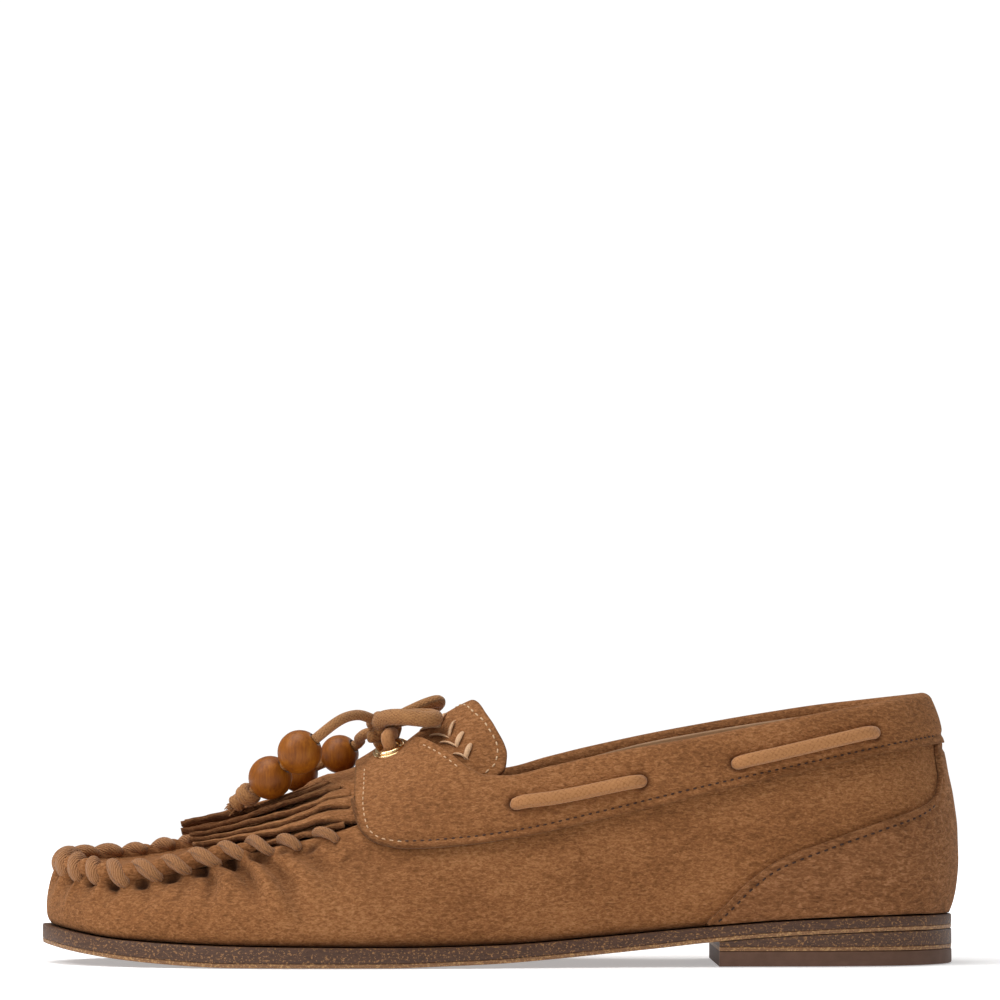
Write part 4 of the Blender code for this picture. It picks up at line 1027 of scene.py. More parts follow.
def pleat_relief(u, below_seam):
    """Height and shade of the small pleats: ridges between stitches, pockets under each stitch."""
    s = np.interp(u, seam_u, seam_length) - 0.35 * below_seam
    phase = (s - row_s) / STITCH_PITCH
    nearest = np.abs(phase - np.round(phase))
    uneven = 0.75 + 0.35 * np.sin(np.round(phase) * 2.4)
    inside = (u > seam_u[0]) & (u < seam_u[-1])
    toe = 0.45 + 0.75 * np.exp(-((u - 12.6) / 1.9) ** 2)
    fade = np.exp(-(below_seam / 6.6) ** 1.6) * inside
    ridge = (0.5 - 0.5 * np.cos(2 * math.pi * phase)) ** 1.4
    pocket = np.exp(-(nearest * STITCH_PITCH / 1.7) ** 2 - ((below_seam - 3.3) / 1.5) ** 2) * inside
    loose = np.clip((u - stitch_u[LOOSE_STITCHES]) / 0.25, 0.0, 1.0)
    height = (3.3 * ridge * toe * uneven - 0.4) * fade * loose - 1.2 * pocket
    return height, 0.75 * pocket + 0.5 * fade * (1 - ridge) ** 1.5 * loose


# %% [markdown]
# The vamp and both quarters are one piece of suede that wraps the shoe from heel to heel. Its lower
# edge is turned in under the insole, so that no gap shows above the sole.

# %% Vamp and quarters
WRAP_OUT = 0.05
TURN_IN = 9.0  # how far the upper is turned in under the insole
wrap_u = np.linspace(0.1, ROWS - 0.1, 860)
wrap_top = v_at(wrap_u, WRAP_TOP, -0.5)
share = np.linspace(0.0, 1.0, 64) ** 0.9
wrap_v = wrap_top[:, None] * share
wrap_grid = surface(wrap_u[:, None], wrap_v, WRAP_OUT)
to_top = np.linalg.norm(wrap_grid - wrap_grid[:, -1:], axis=-1)
pleats, pleat_shade = pleat_relief(wrap_u[:, None], to_top)
relief = pleats + fold_relief(wrap_grid) * np.clip(to_top / 1.5, 0.25, 1.0)
relief += 0.22 * ripple(wrap_grid, 34.0, 0.4) * np.clip(wrap_v * 5, 0.0, 1.0)
relief *= np.clip(wrap_v * 9, 0.0, 1.0)
relief -= 0.35 * np.exp(-(wrap_v / 0.03) ** 2)
wrap_grid += rib_normal(wrap_u[:, None], wrap_v) * relief[..., None]
wrap_shade = pleat_shade + np.clip(-fold_relief(wrap_grid) * 0.3, 0.0, 0.6) * np.exp(-to_top / 24.0)
wrap_shade += 0.75 * np.exp(-(wrap_v / 0.018) ** 2)
turn_in, _ = sole_edge(wrap_u, WELT + TURN_IN)
flange = np.column_stack([turn_in, smooth(SOLE_TOP, turn_in[:, 0]) + GAP])
wrap_grid = np.concatenate([flange[:, None], wrap_grid], axis=1)
wrap_shade = np.concatenate([wrap_shade[:, :1], wrap_shade], axis=1)
vamp = skin("vamp_and_quarters", wrap_grid, 1.3, [SUEDE, SUEDE_EDGE], wrap_shade, slot="suede",
            stands_for=["upper_wrap"])
print(vamp.name, len(vamp.data.polygons), "faces")

# %% [markdown]
# The plug is a flat apron that closes the toe. Its edge is turned up against the turned-up edge of
# the vamp, and the lace whips over the pair of them, so the seam is a ridge of two thicknesses.

# %% Plug and seam ridge
PLUG_FLAT_FROM, PLUG_FLAT_TO = -76.0, -94.0
PLUG_CROWN = 0.9


def flattened(points):
    """The plug's surface near the toe, let down onto a nearly flat web between the two seams."""
    half = len(seam_points) // 2
    level = []
    for line, side in ((seam_points[:half], 0), (seam_points[half:][::-1], 1)):
        level.append((np.interp(points[..., 0], line[::-1, 0], line[::-1, 1]),
                      np.interp(points[..., 0], line[::-1, 0], line[::-1, 2])))
    (near_y, near_z), (far_y, far_z) = level
    t = np.clip((points[..., 1] - near_y) / np.maximum(far_y - near_y, 1.0), 0.0, 1.0)
    web = near_z + (far_z - near_z) * t + PLUG_CROWN * np.sin(math.pi * t)
    amount = np.clip((points[..., 0] - PLUG_FLAT_FROM) / (PLUG_FLAT_TO - PLUG_FLAT_FROM), 0.0, 1.0)
    amount = amount * amount * (3 - 2 * amount)
    let_down = points.copy()
    let_down[..., 2] += amount * np.minimum(web - points[..., 2], 0.0)
    return let_down


plug_u = np.linspace(8.3, ROWS - 8.3, 420)
plug_low = v_at(plug_u, SEAM, 0.2)
plug_share = np.linspace(0.0, 1.0, 46) ** 1.25
plug_v = plug_low[:, None] + (1.0 - plug_low[:, None]) * plug_share
plug_grid = surface(plug_u[:, None], plug_v, 0.0)
from_seam = np.linalg.norm(plug_grid - plug_grid[:, :1], axis=-1)
plug_grid = flattened(plug_grid)
plug_phase = (np.interp(plug_u, seam_u, seam_length) - row_s) / STITCH_PITCH
pinch = (0.5 - 0.5 * np.cos(2 * math.pi * plug_phase))[:, None]
rise = np.exp(-(from_seam / 2.6) ** 2) * (0.7 + 0.9 * pinch)
rise -= 0.25 * np.exp(-((from_seam - 5.5) / 2.5) ** 2)
rise += 0.22 * ripple(plug_grid, 26.0, 1.3) * np.clip(from_seam / 5.0, 0.0, 1.0)
plug_grid += rib_normal(plug_u[:, None], plug_v) * rise[..., None]
plug_shade = 0.2 * np.exp(-(from_seam / 1.6) ** 2) + 0.12 * np.exp(-((from_seam - 3.6) / 1.6) ** 2)
plug = skin("toe_plug", plug_grid, 1.3, [SUEDE, SUEDE_EDGE], plug_shade, slot="suede",
            stands_for=["plug_apron"])

RIDGE_START = row_s + 6.0
ridge_u = np.interp(np.arange(RIDGE_START, seam_length[-1], 0.45), seam_length, seam_u)
ridge_s = np.interp(ridge_u, seam_u, seam_length)
base, out, along, down = seam_frame(ridge_u)
swell = 0.5 - 0.5 * np.cos(2 * math.pi * (ridge_s - row_s) / STITCH_PITCH)
ridge_taper = np.clip((ridge_s - RIDGE_START) / 10.0, 0.15, 1.0)
ridge_radius = (1.6 + 1.25 * swell) * ridge_taper
ridge_path = base + out * (0.7 + 0.75 * swell[:, None] * ridge_taper[:, None]) + down * 0.3
points, faces, _ = tube_mesh(ridge_path, ridge_radius, 20)
ridge = mesh_piece("seam_ridge", points, faces, [SUEDE], slot="suede",
                   shade=np.repeat(0.3 * (1 - swell) ** 2, 20))
print(plug.name, "and", ridge.name)

# %% [markdown]
# Each whip stitch is its own length of twisted cord that goes over the ridge and slants back along
# the seam. The two loose ones lie flat on the vamp.

# %% Whip stitches
STITCH_CORD = [(0, 1.55), (2, 1.8), (4, 2.0), (6, 2.15), (9, 2.25)]  # (stitch, cord radius)
LOOSE_DROP = (1.5, 0.7)  # how far below the seam the loose stitches lie
stitch_parts = []
for k, (s, u) in enumerate(zip(stitch_s, stitch_u)):
    point, out, along, down = (row[0] for row in seam_frame(np.array([u])))
    loose = k < LOOSE_STITCHES
    point = point + down * (LOOSE_DROP[k] if loose else 0.0)
    back = -along
    t = np.linspace(0.0, 1.0, 17)
    wave = math.sin(k * 2.1)
    if loose:
        reach = (t - 0.5) * 8.6
        height = 0.55 + 1.15 * np.sin(math.pi * t)
        path = (point + np.outer(reach * 0.62, down) + np.outer(reach * 0.72, back)
                + np.outer(height - 1.5 * np.abs(2 * t - 1) ** 5, out))
    else:
        angle = np.radians(-112 + 236 * t)
        slide = (t - 0.5) * (10.0 + 0.8 * wave)
        path = (point + np.outer(np.cos(angle) * 2.3 + 0.9, out) + np.outer(np.sin(angle) * 2.8 + 0.6, down)
                + np.outer(slide, back))
    path = through(path, 0.5)
    t = np.linspace(0.0, 1.0, len(path))
    radius = smooth(STITCH_CORD, min(k, STITCH_CORD[-1][0])) * (0.95 + 0.06 * wave)
    radius = radius * (0.62 + 0.42 * np.sin(math.pi * t) ** 0.7)
    stitch_parts.append(tube_mesh(path, radius, 28, plies=2, lay_mm=15.0, groove=0.22))
whip = cord_piece("whip_stitches", stitch_parts, [WHIP_CORD], slot="cord", stands_for=["whip_lace"])
print(whip.name, len(stitch_parts), "stitches")

# %% [markdown]
# ## Kiltie fringe
# The kiltie is a second apron of suede laid over the plug and slit into strands toward the toe. A
# knife cuts suede leaving a raw, hairy wall, and the strands twist a little, so that each shows its
# cut side against the next; its walls and the long edges of its top are darkened with painted shade,
# the dark line of shade in each slit. Every strand is its own strip here, joined to a base that is left
# whole under the tabs.

# %% Kiltie
def over_ridge(k, w, offset):
    """Point k rows behind the toe and w across the ridge, lateral below 0 and medial above."""
    u = np.where(w < 0, TOE_ROW - k, TOE_ROW + k)
    return surface(u, 1.0 - np.abs(w), offset)


def strip_solid(top, low):
    """Points, faces and side marks of a closed strip between a top and a low grid."""
    columns, rows = top.shape[:2]
    points = np.concatenate([top.reshape(-1, 3), low.reshape(-1, 3)])
    count = columns * rows
    up = grid_faces(columns, rows)
    faces = [up, up[:, ::-1] + count]
    i = np.arange(columns - 1) * rows
    j = np.arange(rows - 1)
    faces.append(np.column_stack([i, i + rows, i + rows + count, i + count]))
    faces.append(np.column_stack([i + rows + rows - 1, i + rows - 1, i + rows - 1 + count,
                                  i + rows + rows - 1 + count]))
    faces.append(np.column_stack([j + 1, j, j + count, j + 1 + count]))
    last = (columns - 1) * rows + j
    faces.append(np.column_stack([last, last + 1, last + 1 + count, last + count]))
    faces = np.concatenate(faces)
    return points, faces, len(up) * 2


STRANDS = 13
KILTIE_ROOT, KILTIE_TIP = 4.74, 2.84
KILTIE_HALF = 0.36
KILTIE_SPREAD = 0.12
KILTIE_THICK = 1.5
KILTIE_OUT = 2.0


def kiltie_point(a, s, lift):
    """Point on the kiltie: a across it from -1 (lateral edge) to 1, s from its root to its tips."""
    spread = KILTIE_SPREAD * np.clip(1.0 - s, 0.0, 1.25) ** 0.8
    w = a * np.where(a < 0, KILTIE_HALF + spread, KILTIE_HALF * 0.86 + 0.5 * spread)
    reach = KILTIE_TIP + 2.4 * np.minimum(np.abs(w), KILTIE_HALF) ** 2
    return over_ridge(KILTIE_ROOT + (reach - KILTIE_ROOT) * s, w, KILTIE_OUT + lift)


def slit_start(a):
    """How far along the kiltie its slits begin: later at the middle than at the edges."""
    return np.maximum(0.25 - 0.42 * np.abs(a), -0.03)


def under_tab(s):
    """Drop of the kiltie's root, where it goes under the tabs."""
    return -1.75 * np.clip((0.12 - s) / 0.12, 0.0, 1.0)


strand_points, strand_faces, strand_marks, strand_shade, count = [], [], [], [], 0
STRAND_ROWS = 50
for k in range(STRANDS):
    wave = math.sin(k * 2.7 + 0.5)
    left = (k + 0.03) / STRANDS * 2 - 1
    right = (k + 0.97) / STRANDS * 2 - 1
    middle = (left + right) / 2
    start = slit_start(middle)
    share = np.linspace(start, 1.0 + 0.035 * wave + 0.02 * (k % 2), STRAND_ROWS)[None, :]
    local = np.linspace(-1.0, 1.0, 7)[:, None]
    run = np.clip((share - start) / 0.2, 0.0, 1.0)
    sway = 0.045 * np.sin(share * 5.0 + k * 1.9) * run * (1.0 - abs(middle) ** 4)
    a = middle + local * (right - left) / 2 + sway
    out = 1.0 if middle < 0 else -1.0
    lift = -0.8 * local * out * run + 0.8 * wave * run * share ** 2 + 0.35 * run - 0.16 * local ** 2
    lift = lift + (0.22 * np.sin(share * 11 + k) + 0.12 * np.sin(share * 37 + 2.1 * k)) * run
    share = share + 0.0 * local
    lift = lift + under_tab(share)
    top = kiltie_point(a, share, lift)
    low = kiltie_point(a, share, lift - KILTIE_THICK)
    points, faces, flat = strip_solid(top[:, ::-1], low[:, ::-1])
    strand_points.append(points)
    strand_faces.append(faces + count)
    strand_marks.append(np.arange(len(faces)) >= flat)
    # Painted shade: each strand's top is darkened along its long edges, and its cut walls and underside
    # towards the bottom.
    rim = ((np.abs(local) > 0.9) * 0.25 + 0.0 * share).ravel()
    strand_shade.append(np.concatenate([rim, np.full(rim.shape, 0.62)]))
    count += len(points)
fringe = mesh_piece("kiltie_strands", np.concatenate(strand_points), np.concatenate(strand_faces).tolist(),
                    [SUEDE, SUEDE_EDGE], slot="suede", stands_for=["kiltie_fringe"],
                    shade=np.concatenate(strand_shade))
fringe.data.polygons.foreach_set("material_index", np.concatenate(strand_marks).astype(np.int32))
base_a = np.linspace(-1.0, 1.0, 90)[:, None]
base_s = -0.2 + (slit_start(base_a) + 0.22) * np.linspace(0.0, 1.0, 40)[None, :]
crease = 0.7 * np.exp(-((base_s - slit_start(base_a) + 0.03) / 0.03) ** 2) * (np.abs(base_a) < 0.6)
kiltie_base = kiltie_point(base_a, base_s, under_tab(base_s) + crease)
skin("kiltie_base", kiltie_base[:, ::-1], KILTIE_THICK, [SUEDE, SUEDE_EDGE],
     edge_shade(kiltie_base[:, ::-1], 0.8, 0.3, (1, 1, 0, 0)), slot="suede")
print(fringe.name, STRANDS, "strands")

# %% [markdown]
# ## Tongue
# The tongue is a fan of the same suede under the tabs. It stands up a little along its middle, and
# its rear edge comes to a point on each side.

# %% Tongue
TONGUE_IN = -3.6
TONGUE_ROOT = 4.55
# How far back the tongue reaches, in rows behind the toe, at |w| across it.
TONGUE_REAR = [(0.0, 5.8), (0.1, 5.98), (0.2, 6.22), (0.26, 6.45), (0.33, 6.62), (0.39, 6.57), (0.44, 6.42),
               (0.5, 6.25)]
w, s = np.meshgrid(np.linspace(-0.5, 0.5, 140), np.linspace(0.0, 1.0, 90), indexing="ij")
tongue_k = TONGUE_ROOT + (smooth(TONGUE_REAR, np.abs(w)) - TONGUE_ROOT) * s
tongue_lift = TONGUE_IN + 1.8 * np.exp(-(w / 0.13) ** 2) * np.sin(math.pi * s ** 1.5)
tongue_lift += 0.25 * np.sin(w * 16 + s * 3) * s
tongue_grid = over_ridge(tongue_k, w, tongue_lift)
tongue = skin("tongue_suede", tongue_grid, 1.5, [SUEDE, SUEDE_EDGE],
              edge_shade(tongue_grid, 0.7, 0.35, (1, 1, 0, 1)), slot="suede", stands_for=["tongue"])
print(tongue.name)

# %% [markdown]
# ## Collar bands
# Each band runs from a tab at the instep to the middle of the heel. Its lower edge is a raw cut, sewn
# down a little way in. Its upper edge is turned over a strip of foam, which gives the collar its
# round lip. The lace dives through tight holes, and pulls the suede in around each one.

# %% Bands
BAND_OUT = 1.8
ROLL = 3.0
TAB_ROLL = 0.7
SEW_IN = 2.5  # from the cut edge to the row of stitches
SLOTS_X = (4.2, 39.4, 65.8, 104.6)
EYELET_X = -30.5
LACE_OFFSET = 3.45
LACE_SHIFT = -0.9
EYELET_LEAN = 0.45
EYELET_FACE = BAND_OUT - 0.45  # the suede is pressed in this far under the eyelet


def eyelet_seat(medial):
    """Place of an eyelet's centre on the last, the last's normal there and the eyelet's own axis."""
    u = rib_where(medial, EYELET_X, LACE_LINE)
    seat = rib_point(u, v_at(u, LACE_LINE))
    out = rib_normal(u, v_at(u, LACE_LINE))
    axis = out * (EYELET_LEAN, 1.0, 1.0)
    return seat, out, axis / np.linalg.norm(axis)


def band_rows(medial):
    """Ribs of a band from the tab to the heel, in rising order of u."""
    stations = np.concatenate([np.linspace(-40.4, -1.0, 64), np.linspace(0.0, 118.0, 170)])
    rows = rib_where(medial, stations, BAND_BOTTOM)
    tail = np.linspace(rows[-1], 25.96 if medial else 0.04, 15)[1:]
    rows = np.concatenate([rows, tail])
    return rows if medial else rows[::-1]


def lace_point(medial, x, offset):
    """Point over the line that the collar lace follows."""
    u = rib_where(medial, x, LACE_LINE)
    return surface(u, v_at(u, LACE_LINE, LACE_SHIFT if x > EYELET_X + 1.0 else 0.0), offset)


bands = {}
for side, medial in (("lateral", False), ("medial", True)):
    rows = band_rows(medial)
    high = v_at(rows, TOPLINE)
    top = rib_point(rows, high)
    behind = np.clip((top[:, 0] + 14.0) / 14.0, 0.0, 1.0)
    roll = TAB_ROLL + (ROLL - TAB_ROLL) * behind * behind * (3 - 2 * behind)
    low = v_at(rows, BAND_BOTTOM)
    wall_top = up_the_rib(rows, high, -roll)
    share = np.linspace(0.0, 1.0, 44)
    v = low[:, None] + (wall_top - low)[:, None] * share
    wall = surface(rows[:, None], v, BAND_OUT)
    puff = 0.55 * np.sin(math.pi * share) ** 0.8 * behind[:, None] + 0.10 * ripple(wall, 22.0, 2.0)
    from_low = np.linalg.norm(wall - wall[:, :1], axis=-1)
    puff = puff - 0.42 * np.exp(-((from_low - SEW_IN) / 0.8) ** 2) + 0.3 * np.exp(-(from_low / 1.2) ** 2)
    shade = 0.16 * np.exp(-((from_low - SEW_IN) / 0.6) ** 2)
    for x in SLOTS_X:
        away = np.linalg.norm(wall - lace_point(medial, x, BAND_OUT), axis=-1)
        puff = puff - 1.5 * np.exp(-(away / 2.5) ** 2)
        shade = np.maximum(shade, 0.85 * np.exp(-(away / 2.3) ** 4))
    for first, last in ((0, 1), (2, 3)):
        xs = np.linspace(SLOTS_X[first], SLOTS_X[last], 24)
        run = np.array([lace_point(medial, x, BAND_OUT) for x in xs])
        away = np.min(np.linalg.norm(wall[:, :, None] - run[None, None], axis=-1), axis=-1)
        puff = puff - 0.45 * np.exp(-(away / 2.4) ** 2)
        shade = np.maximum(shade, 0.34 * np.exp(-(away / 2.2) ** 4))
    seat, out, axis = eyelet_seat(medial)
    eye = seat + out * EYELET_FACE
    near_eye = np.exp(-(np.linalg.norm(wall - eye, axis=-1) / 6.2) ** 4)
    normals = rib_normal(rows[:, None], v)
    to_disc = -((wall - eye) @ axis) / np.maximum(normals @ axis, 0.3)
    wall = wall + normals * (puff * (1 - near_eye) + np.clip(to_disc, -2.2, 2.2) * near_eye)[..., None]
    normal = rib_normal(rows, wall_top)
    ahead = surface(rows, wall_top + 0.01, BAND_OUT) - surface(rows, wall_top, BAND_OUT)
    upward = ahead / np.linalg.norm(ahead, axis=-1, keepdims=True)
    centre = wall[:, -1] - normal * roll[:, None]
    turn = np.radians(np.linspace(12, 172, 14))
    lip = (centre[:, None] + normal[:, None] * (roll[:, None] * np.cos(turn))[..., None]
           + upward[:, None] * (roll[:, None] * np.sin(turn))[..., None])
    grid = np.concatenate([wall, lip], axis=1)
    flap = lip[:, -1:] - upward[:, None] * np.array([1.2, 2.6, 4.0])[None, :, None]
    flap = flap - normal[:, None] * (np.array([0.5, 0.9, 1.1])[None, :] * behind[:, None])[..., None]
    grid = np.concatenate([grid, flap], axis=1)
    inner_shade = np.concatenate([np.linspace(0.0, 0.25, 14), [0.3, 0.35, 0.4]])
    shade = np.concatenate([shade, np.tile(inner_shade, (len(rows), 1)) * behind[:, None]], axis=1)
    ends = (1, 0, 1, 0) if medial else (0, 1, 1, 0)
    shade = np.maximum(shade, edge_shade(grid, 0.8, 0.4, ends))
    bands[side] = skin("collar_band_" + side + "_suede", grid, 1.1, [SUEDE, SUEDE_EDGE], shade,
                       slot="suede", stands_for=["collar_band_" + side])
    print(bands[side].name, len(bands[side].data.polygons), "faces")

# %% [markdown]
# ## Foxing
# A piece of coarser suede covers the back of the heel. Its upper edge is cut and sewn down like the
# band's.

# %% Foxing
FOXING_FRONT_X = 58.0
FOXING_OUT = 1.45
FOX_SEW_IN = 2.2
foxing_reach = outline_row(FOXING_FRONT_X, count=261)
fox_rows = np.linspace(-foxing_reach, foxing_reach, 260)
fox_low = v_at_height(fox_rows, 0.9)
# At the back seam the foxing runs up under the band.
at_back = np.clip((0.6 - np.abs(fox_rows)) / 0.12, 0.0, 1.0)
fox_high = (v_at(fox_rows, (FOXING_EDGE, FOXING_EDGE)) * (1 - at_back)
            + v_at(fox_rows, BAND_BOTTOM, 0.8) * at_back)
fox_high = np.maximum(fox_high, fox_low + 0.012)
fox_v = fox_low[:, None] + (fox_high - fox_low)[:, None] * np.linspace(0.0, 1.0, 52)
fox_grid = surface(fox_rows[:, None], fox_v, FOXING_OUT)
from_cut = np.linalg.norm(fox_grid - fox_grid[:, -1:], axis=-1)
fox_relief = 0.12 * ripple(fox_grid, 18.0, 0.9) - 0.4 * np.exp(-((from_cut - FOX_SEW_IN) / 0.8) ** 2)
fox_grid += rib_normal(fox_rows[:, None], fox_v) * fox_relief[..., None]
fox_shade = 0.16 * np.exp(-((from_cut - FOX_SEW_IN) / 0.6) ** 2)
foxing = skin("heel_foxing_suede", fox_grid, 1.4, [SUEDE_COARSE, SUEDE_EDGE],
              np.maximum(edge_shade(fox_grid, 0.8, 0.3, (1, 1, 1, 0)), fox_shade), slot="suede",
              stands_for=["heel_foxing"])
print(foxing.name)

# %% [markdown]
# ## Collar lace
# One lace runs round the collar: from the bow down through the eyelet, under the tab, out and in
# through four holes on each side, and round the heel inside the band. It is the bow's cord, pressed
# and brushed smooth where it rubs on the suede.

# %% Collar lace
SIDE_LACE = 1.95
INNER_LACE = 0.9
# How the lace comes out of a hole: (distance past the hole, offset, radius).
DIVE = [(-0.6, -0.4, 1.3), (0.3, 1.6, SIDE_LACE * 0.94), (2.6, LACE_OFFSET - 0.3, SIDE_LACE),
        (6.0, LACE_OFFSET, SIDE_LACE)]


def lace_route(medial):
    """Half of the lace with its radii, from the bow to the last hole."""
    hand = 1.0 if medial else -1.0
    seat, _, out = eyelet_seat(medial)
    bow = KNOT + (1.2, hand * 2.4, -1.2)
    over = seat + out * 4.9
    points = [bow, (bow + over) / 2 + (0.8, hand * 0.8, 0.9), over, seat + out * 1.4, seat - out * 0.8]
    radii = [SIDE_LACE] * 4 + [INNER_LACE]
    plan = [(x, -1.0, INNER_LACE) for x in (-26, -22, -17, -12, -7, -2)]
    for first, last in ((0, 1), (2, 3)):
        start, stop = SLOTS_X[first], SLOTS_X[last]
        plan += [(start + past, offset, radius) for past, offset, radius in DIVE]
        plan += [(x, LACE_OFFSET - 0.15, SIDE_LACE) for x in np.linspace(start + 11, stop - 11, 3)]
        plan += [(stop - past, offset, radius) for past, offset, radius in reversed(DIVE)]
        if last == 1:
            plan += [(x, -1.0, INNER_LACE) for x in (stop + 5, stop + 13, SLOTS_X[2] - 5)]
    for x, offset, radius in plan:
        points.append(lace_point(medial, x, offset))
        radii.append(radius)
    return points, radii


near, near_radii = lace_route(False)
far, far_radii = lace_route(True)
round_u = np.linspace(1.6, -1.6, 9)
heel_run = list(surface(round_u, v_at(round_u, LACE_LINE), -1.0))
route = np.array(near + heel_run + far[::-1])
route_radii = np.array(near_radii + [INNER_LACE] * len(heel_run) + far_radii[::-1])
lace_path = through(route, 0.7)
at_points = np.array([np.argmin(np.linalg.norm(lace_path - point, axis=1)) for point in route])
lace_radius = np.interp(np.arange(len(lace_path)), at_points, route_radii)
side_lace = cord_piece("collar_lace", [tube_mesh(lace_path, lace_radius, 20)], [SIDE_CORD],
                       slot="cord", stands_for=["side_lace"])
print(side_lace.name, round(path_length(lace_path)), "mm long")

# %% [markdown]
# ## Eyelets
# A two-part eyelet is a thin brass barrel rolled over at the mouth, pressed into a second flat ring.
# The plating is pale gold, and its rolled lip catches the light in a narrow bright band.

# %% Eyelets
GOLD, tree, shader = new_material("pale_gold_plated_brass", Base_Color=linear("#ecc995"), Metallic=1.0,
                                  Roughness=0.18)
tree.links.new(bumped(tree, noise(tree, place_of(tree), 1.2, 2.0), 0.02, 0.3), shader.inputs["Normal"])
for side, medial in (("lateral", False), ("medial", True)):
    seat, out, axis = eyelet_seat(medial)
    lip = [(3.5 + 0.85 * math.cos(a), 0.55 + 0.62 * math.sin(a)) for a in np.radians(range(180, -31, -15))]
    profile = [(2.6, -1.6), (2.6, 0.5)] + lip
    profile += [(4.5, 0.25), (4.85, 0.35), (5.05, 0.12), (5.05, -0.2), (2.8, -0.3), (2.8, -1.6)]
    points, faces = turned_mesh(profile, seat + out * EYELET_FACE, axis, 64)
    eyelet = mesh_piece("eyelet_" + side + "_brass", points, faces, [GOLD], slot="gold",
                        stands_for=["eyelet_" + side])
    faces_out(eyelet)
print("eyelets seated")

# %% [markdown]
# ## Stitches
# A sewing machine leaves a row of short thread bars that dip into the leather at both ends. Each row
# here is found by looking straight in from the side at the finished skin, so that the bars lie on
# its real surface, and each bar is a small tube of its own.

# %% Rows of thread
from mathutils.bvhtree import BVHTree


def looked_at(piece):
    """A tree of a piece's own surface in millimetres, for finding points on it."""
    mesh = piece.data
    points = np.empty(len(mesh.vertices) * 3, dtype=np.float32)
    mesh.vertices.foreach_get("co", points)
    faces = [tuple(polygon.vertices) for polygon in mesh.polygons]
    return BVHTree.FromPolygons((points.reshape(-1, 3) / MM).tolist(), faces)


def seen_from_side(tree, outline, hand, step=0.4):
    """Points and normals where a line of (x, z) falls on a skin, seen from the lateral (-1) side or
    the medial (1)."""
    outline = np.array(outline, float)
    length = np.concatenate([[0.0], np.cumsum(np.linalg.norm(np.diff(outline, axis=0), axis=1))])
    at = np.arange(0.0, length[-1], step)
    points, normals = [], []
    for x, z in zip(np.interp(at, length, outline[:, 0]), np.interp(at, length, outline[:, 1])):
        hit, normal, _, _ = tree.ray_cast(Vector((x, hand * 100.0, z)), Vector((0.0, -hand, 0.0)))
        if hit is not None:
            normal = normal if normal.y * hand > 0 else -normal
            points.append(hit)
            normals.append(normal)
    return np.array(points), np.array(normals)


def bars(points, normals, length, gap, radius, sink=0.25):
    """Thread bars along a line on a skin: how long, how far apart, how thick and how deep they sink."""
    along = np.concatenate([[0.0], np.cumsum(np.linalg.norm(np.diff(points, axis=0), axis=1))])
    parts = []
    for start in np.arange(0.3, along[-1] - length, length + gap):
        at = start + np.array([0.0, 0.18, 0.5, 0.82, 1.0]) * length
        line = np.column_stack([np.interp(at, along, points[:, k]) for k in range(3)])
        out = np.column_stack([np.interp(at, along, normals[:, k]) for k in range(3)])
        out /= np.linalg.norm(out, axis=1, keepdims=True)
        height = radius * (np.array([-1.6, 0.2, 0.55, 0.2, -1.6]) - sink)
        parts.append(tube_mesh(through(line + out * height[:, None], 0.28), radius, 7))
    return parts


def shifted(line, distance):
    """A line of (x, z) moved square to itself: above 0 to its left, seen with x to the right."""
    line = np.array(line, float)
    along = np.gradient(line, axis=0)
    along /= np.linalg.norm(along, axis=1, keepdims=True)
    return line + np.column_stack([-along[:, 1], along[:, 0]]) * distance


def smooth_line(line, x0, x1):
    """A line of the upper, sampled smoothly between two x."""
    x = np.arange(x0, x1, 1.0)
    return np.column_stack([x, smooth(line, x)])


def rounded_line(keys, step):
    """A curve of (x, z) through keys that may turn back on itself."""
    return through(np.column_stack([keys, np.zeros(len(keys))]), step)[:, :2]


fox_tree = looked_at(foxing)
for side, hand, k in (("lateral", -1.0, 0), ("medial", 1.0, 1)):
    skin_tree = looked_at(bands[side])
    low = np.array(BAND_BOTTOM[k])
    front = [(low[0, 0], TOPLINE[k][0][1] - 1.0), (low[0, 0], low[0, 1] + 4.0)]
    corner = np.concatenate([front, low[:5]])
    corner = rounded_line(corner, 0.8)
    pale = bars(*seen_from_side(skin_tree, shifted(corner, 2.1), hand), 1.3, 1.0, 0.19)
    top = smooth_line(TOPLINE[k], -21.5, -9.5)
    pale += bars(*seen_from_side(skin_tree, shifted(top, -1.3), hand), 1.3, 1.0, 0.17)
    cord_piece("tab_stitches_" + side, pale, [THREAD_LIGHT], slot="cord")
    bottom = smooth_line(BAND_BOTTOM[k], -29.0, 126.0)
    dark = bars(*seen_from_side(skin_tree, shifted(bottom, SEW_IN), hand), 1.0, 1.15, 0.3, sink=0.7)
    cord_piece("band_stitches_" + side, dark, [THREAD_DARK], slot="cord")
    fox_line = rounded_line(FOXING_EDGE[:-2], 1.0)
    fox = bars(*seen_from_side(fox_tree, shifted(fox_line, -FOX_SEW_IN), hand), 1.2, 1.2, 0.3, sink=0.6)
    cord_piece("foxing_stitches_" + side, fox, [THREAD_DARK], slot="cord")
print("rows sewn")

# %% [markdown]
# The tongue has a row of pale thread inside its rear edge and, on each half, four pairs of raffia
# bars that meet in arrowheads.

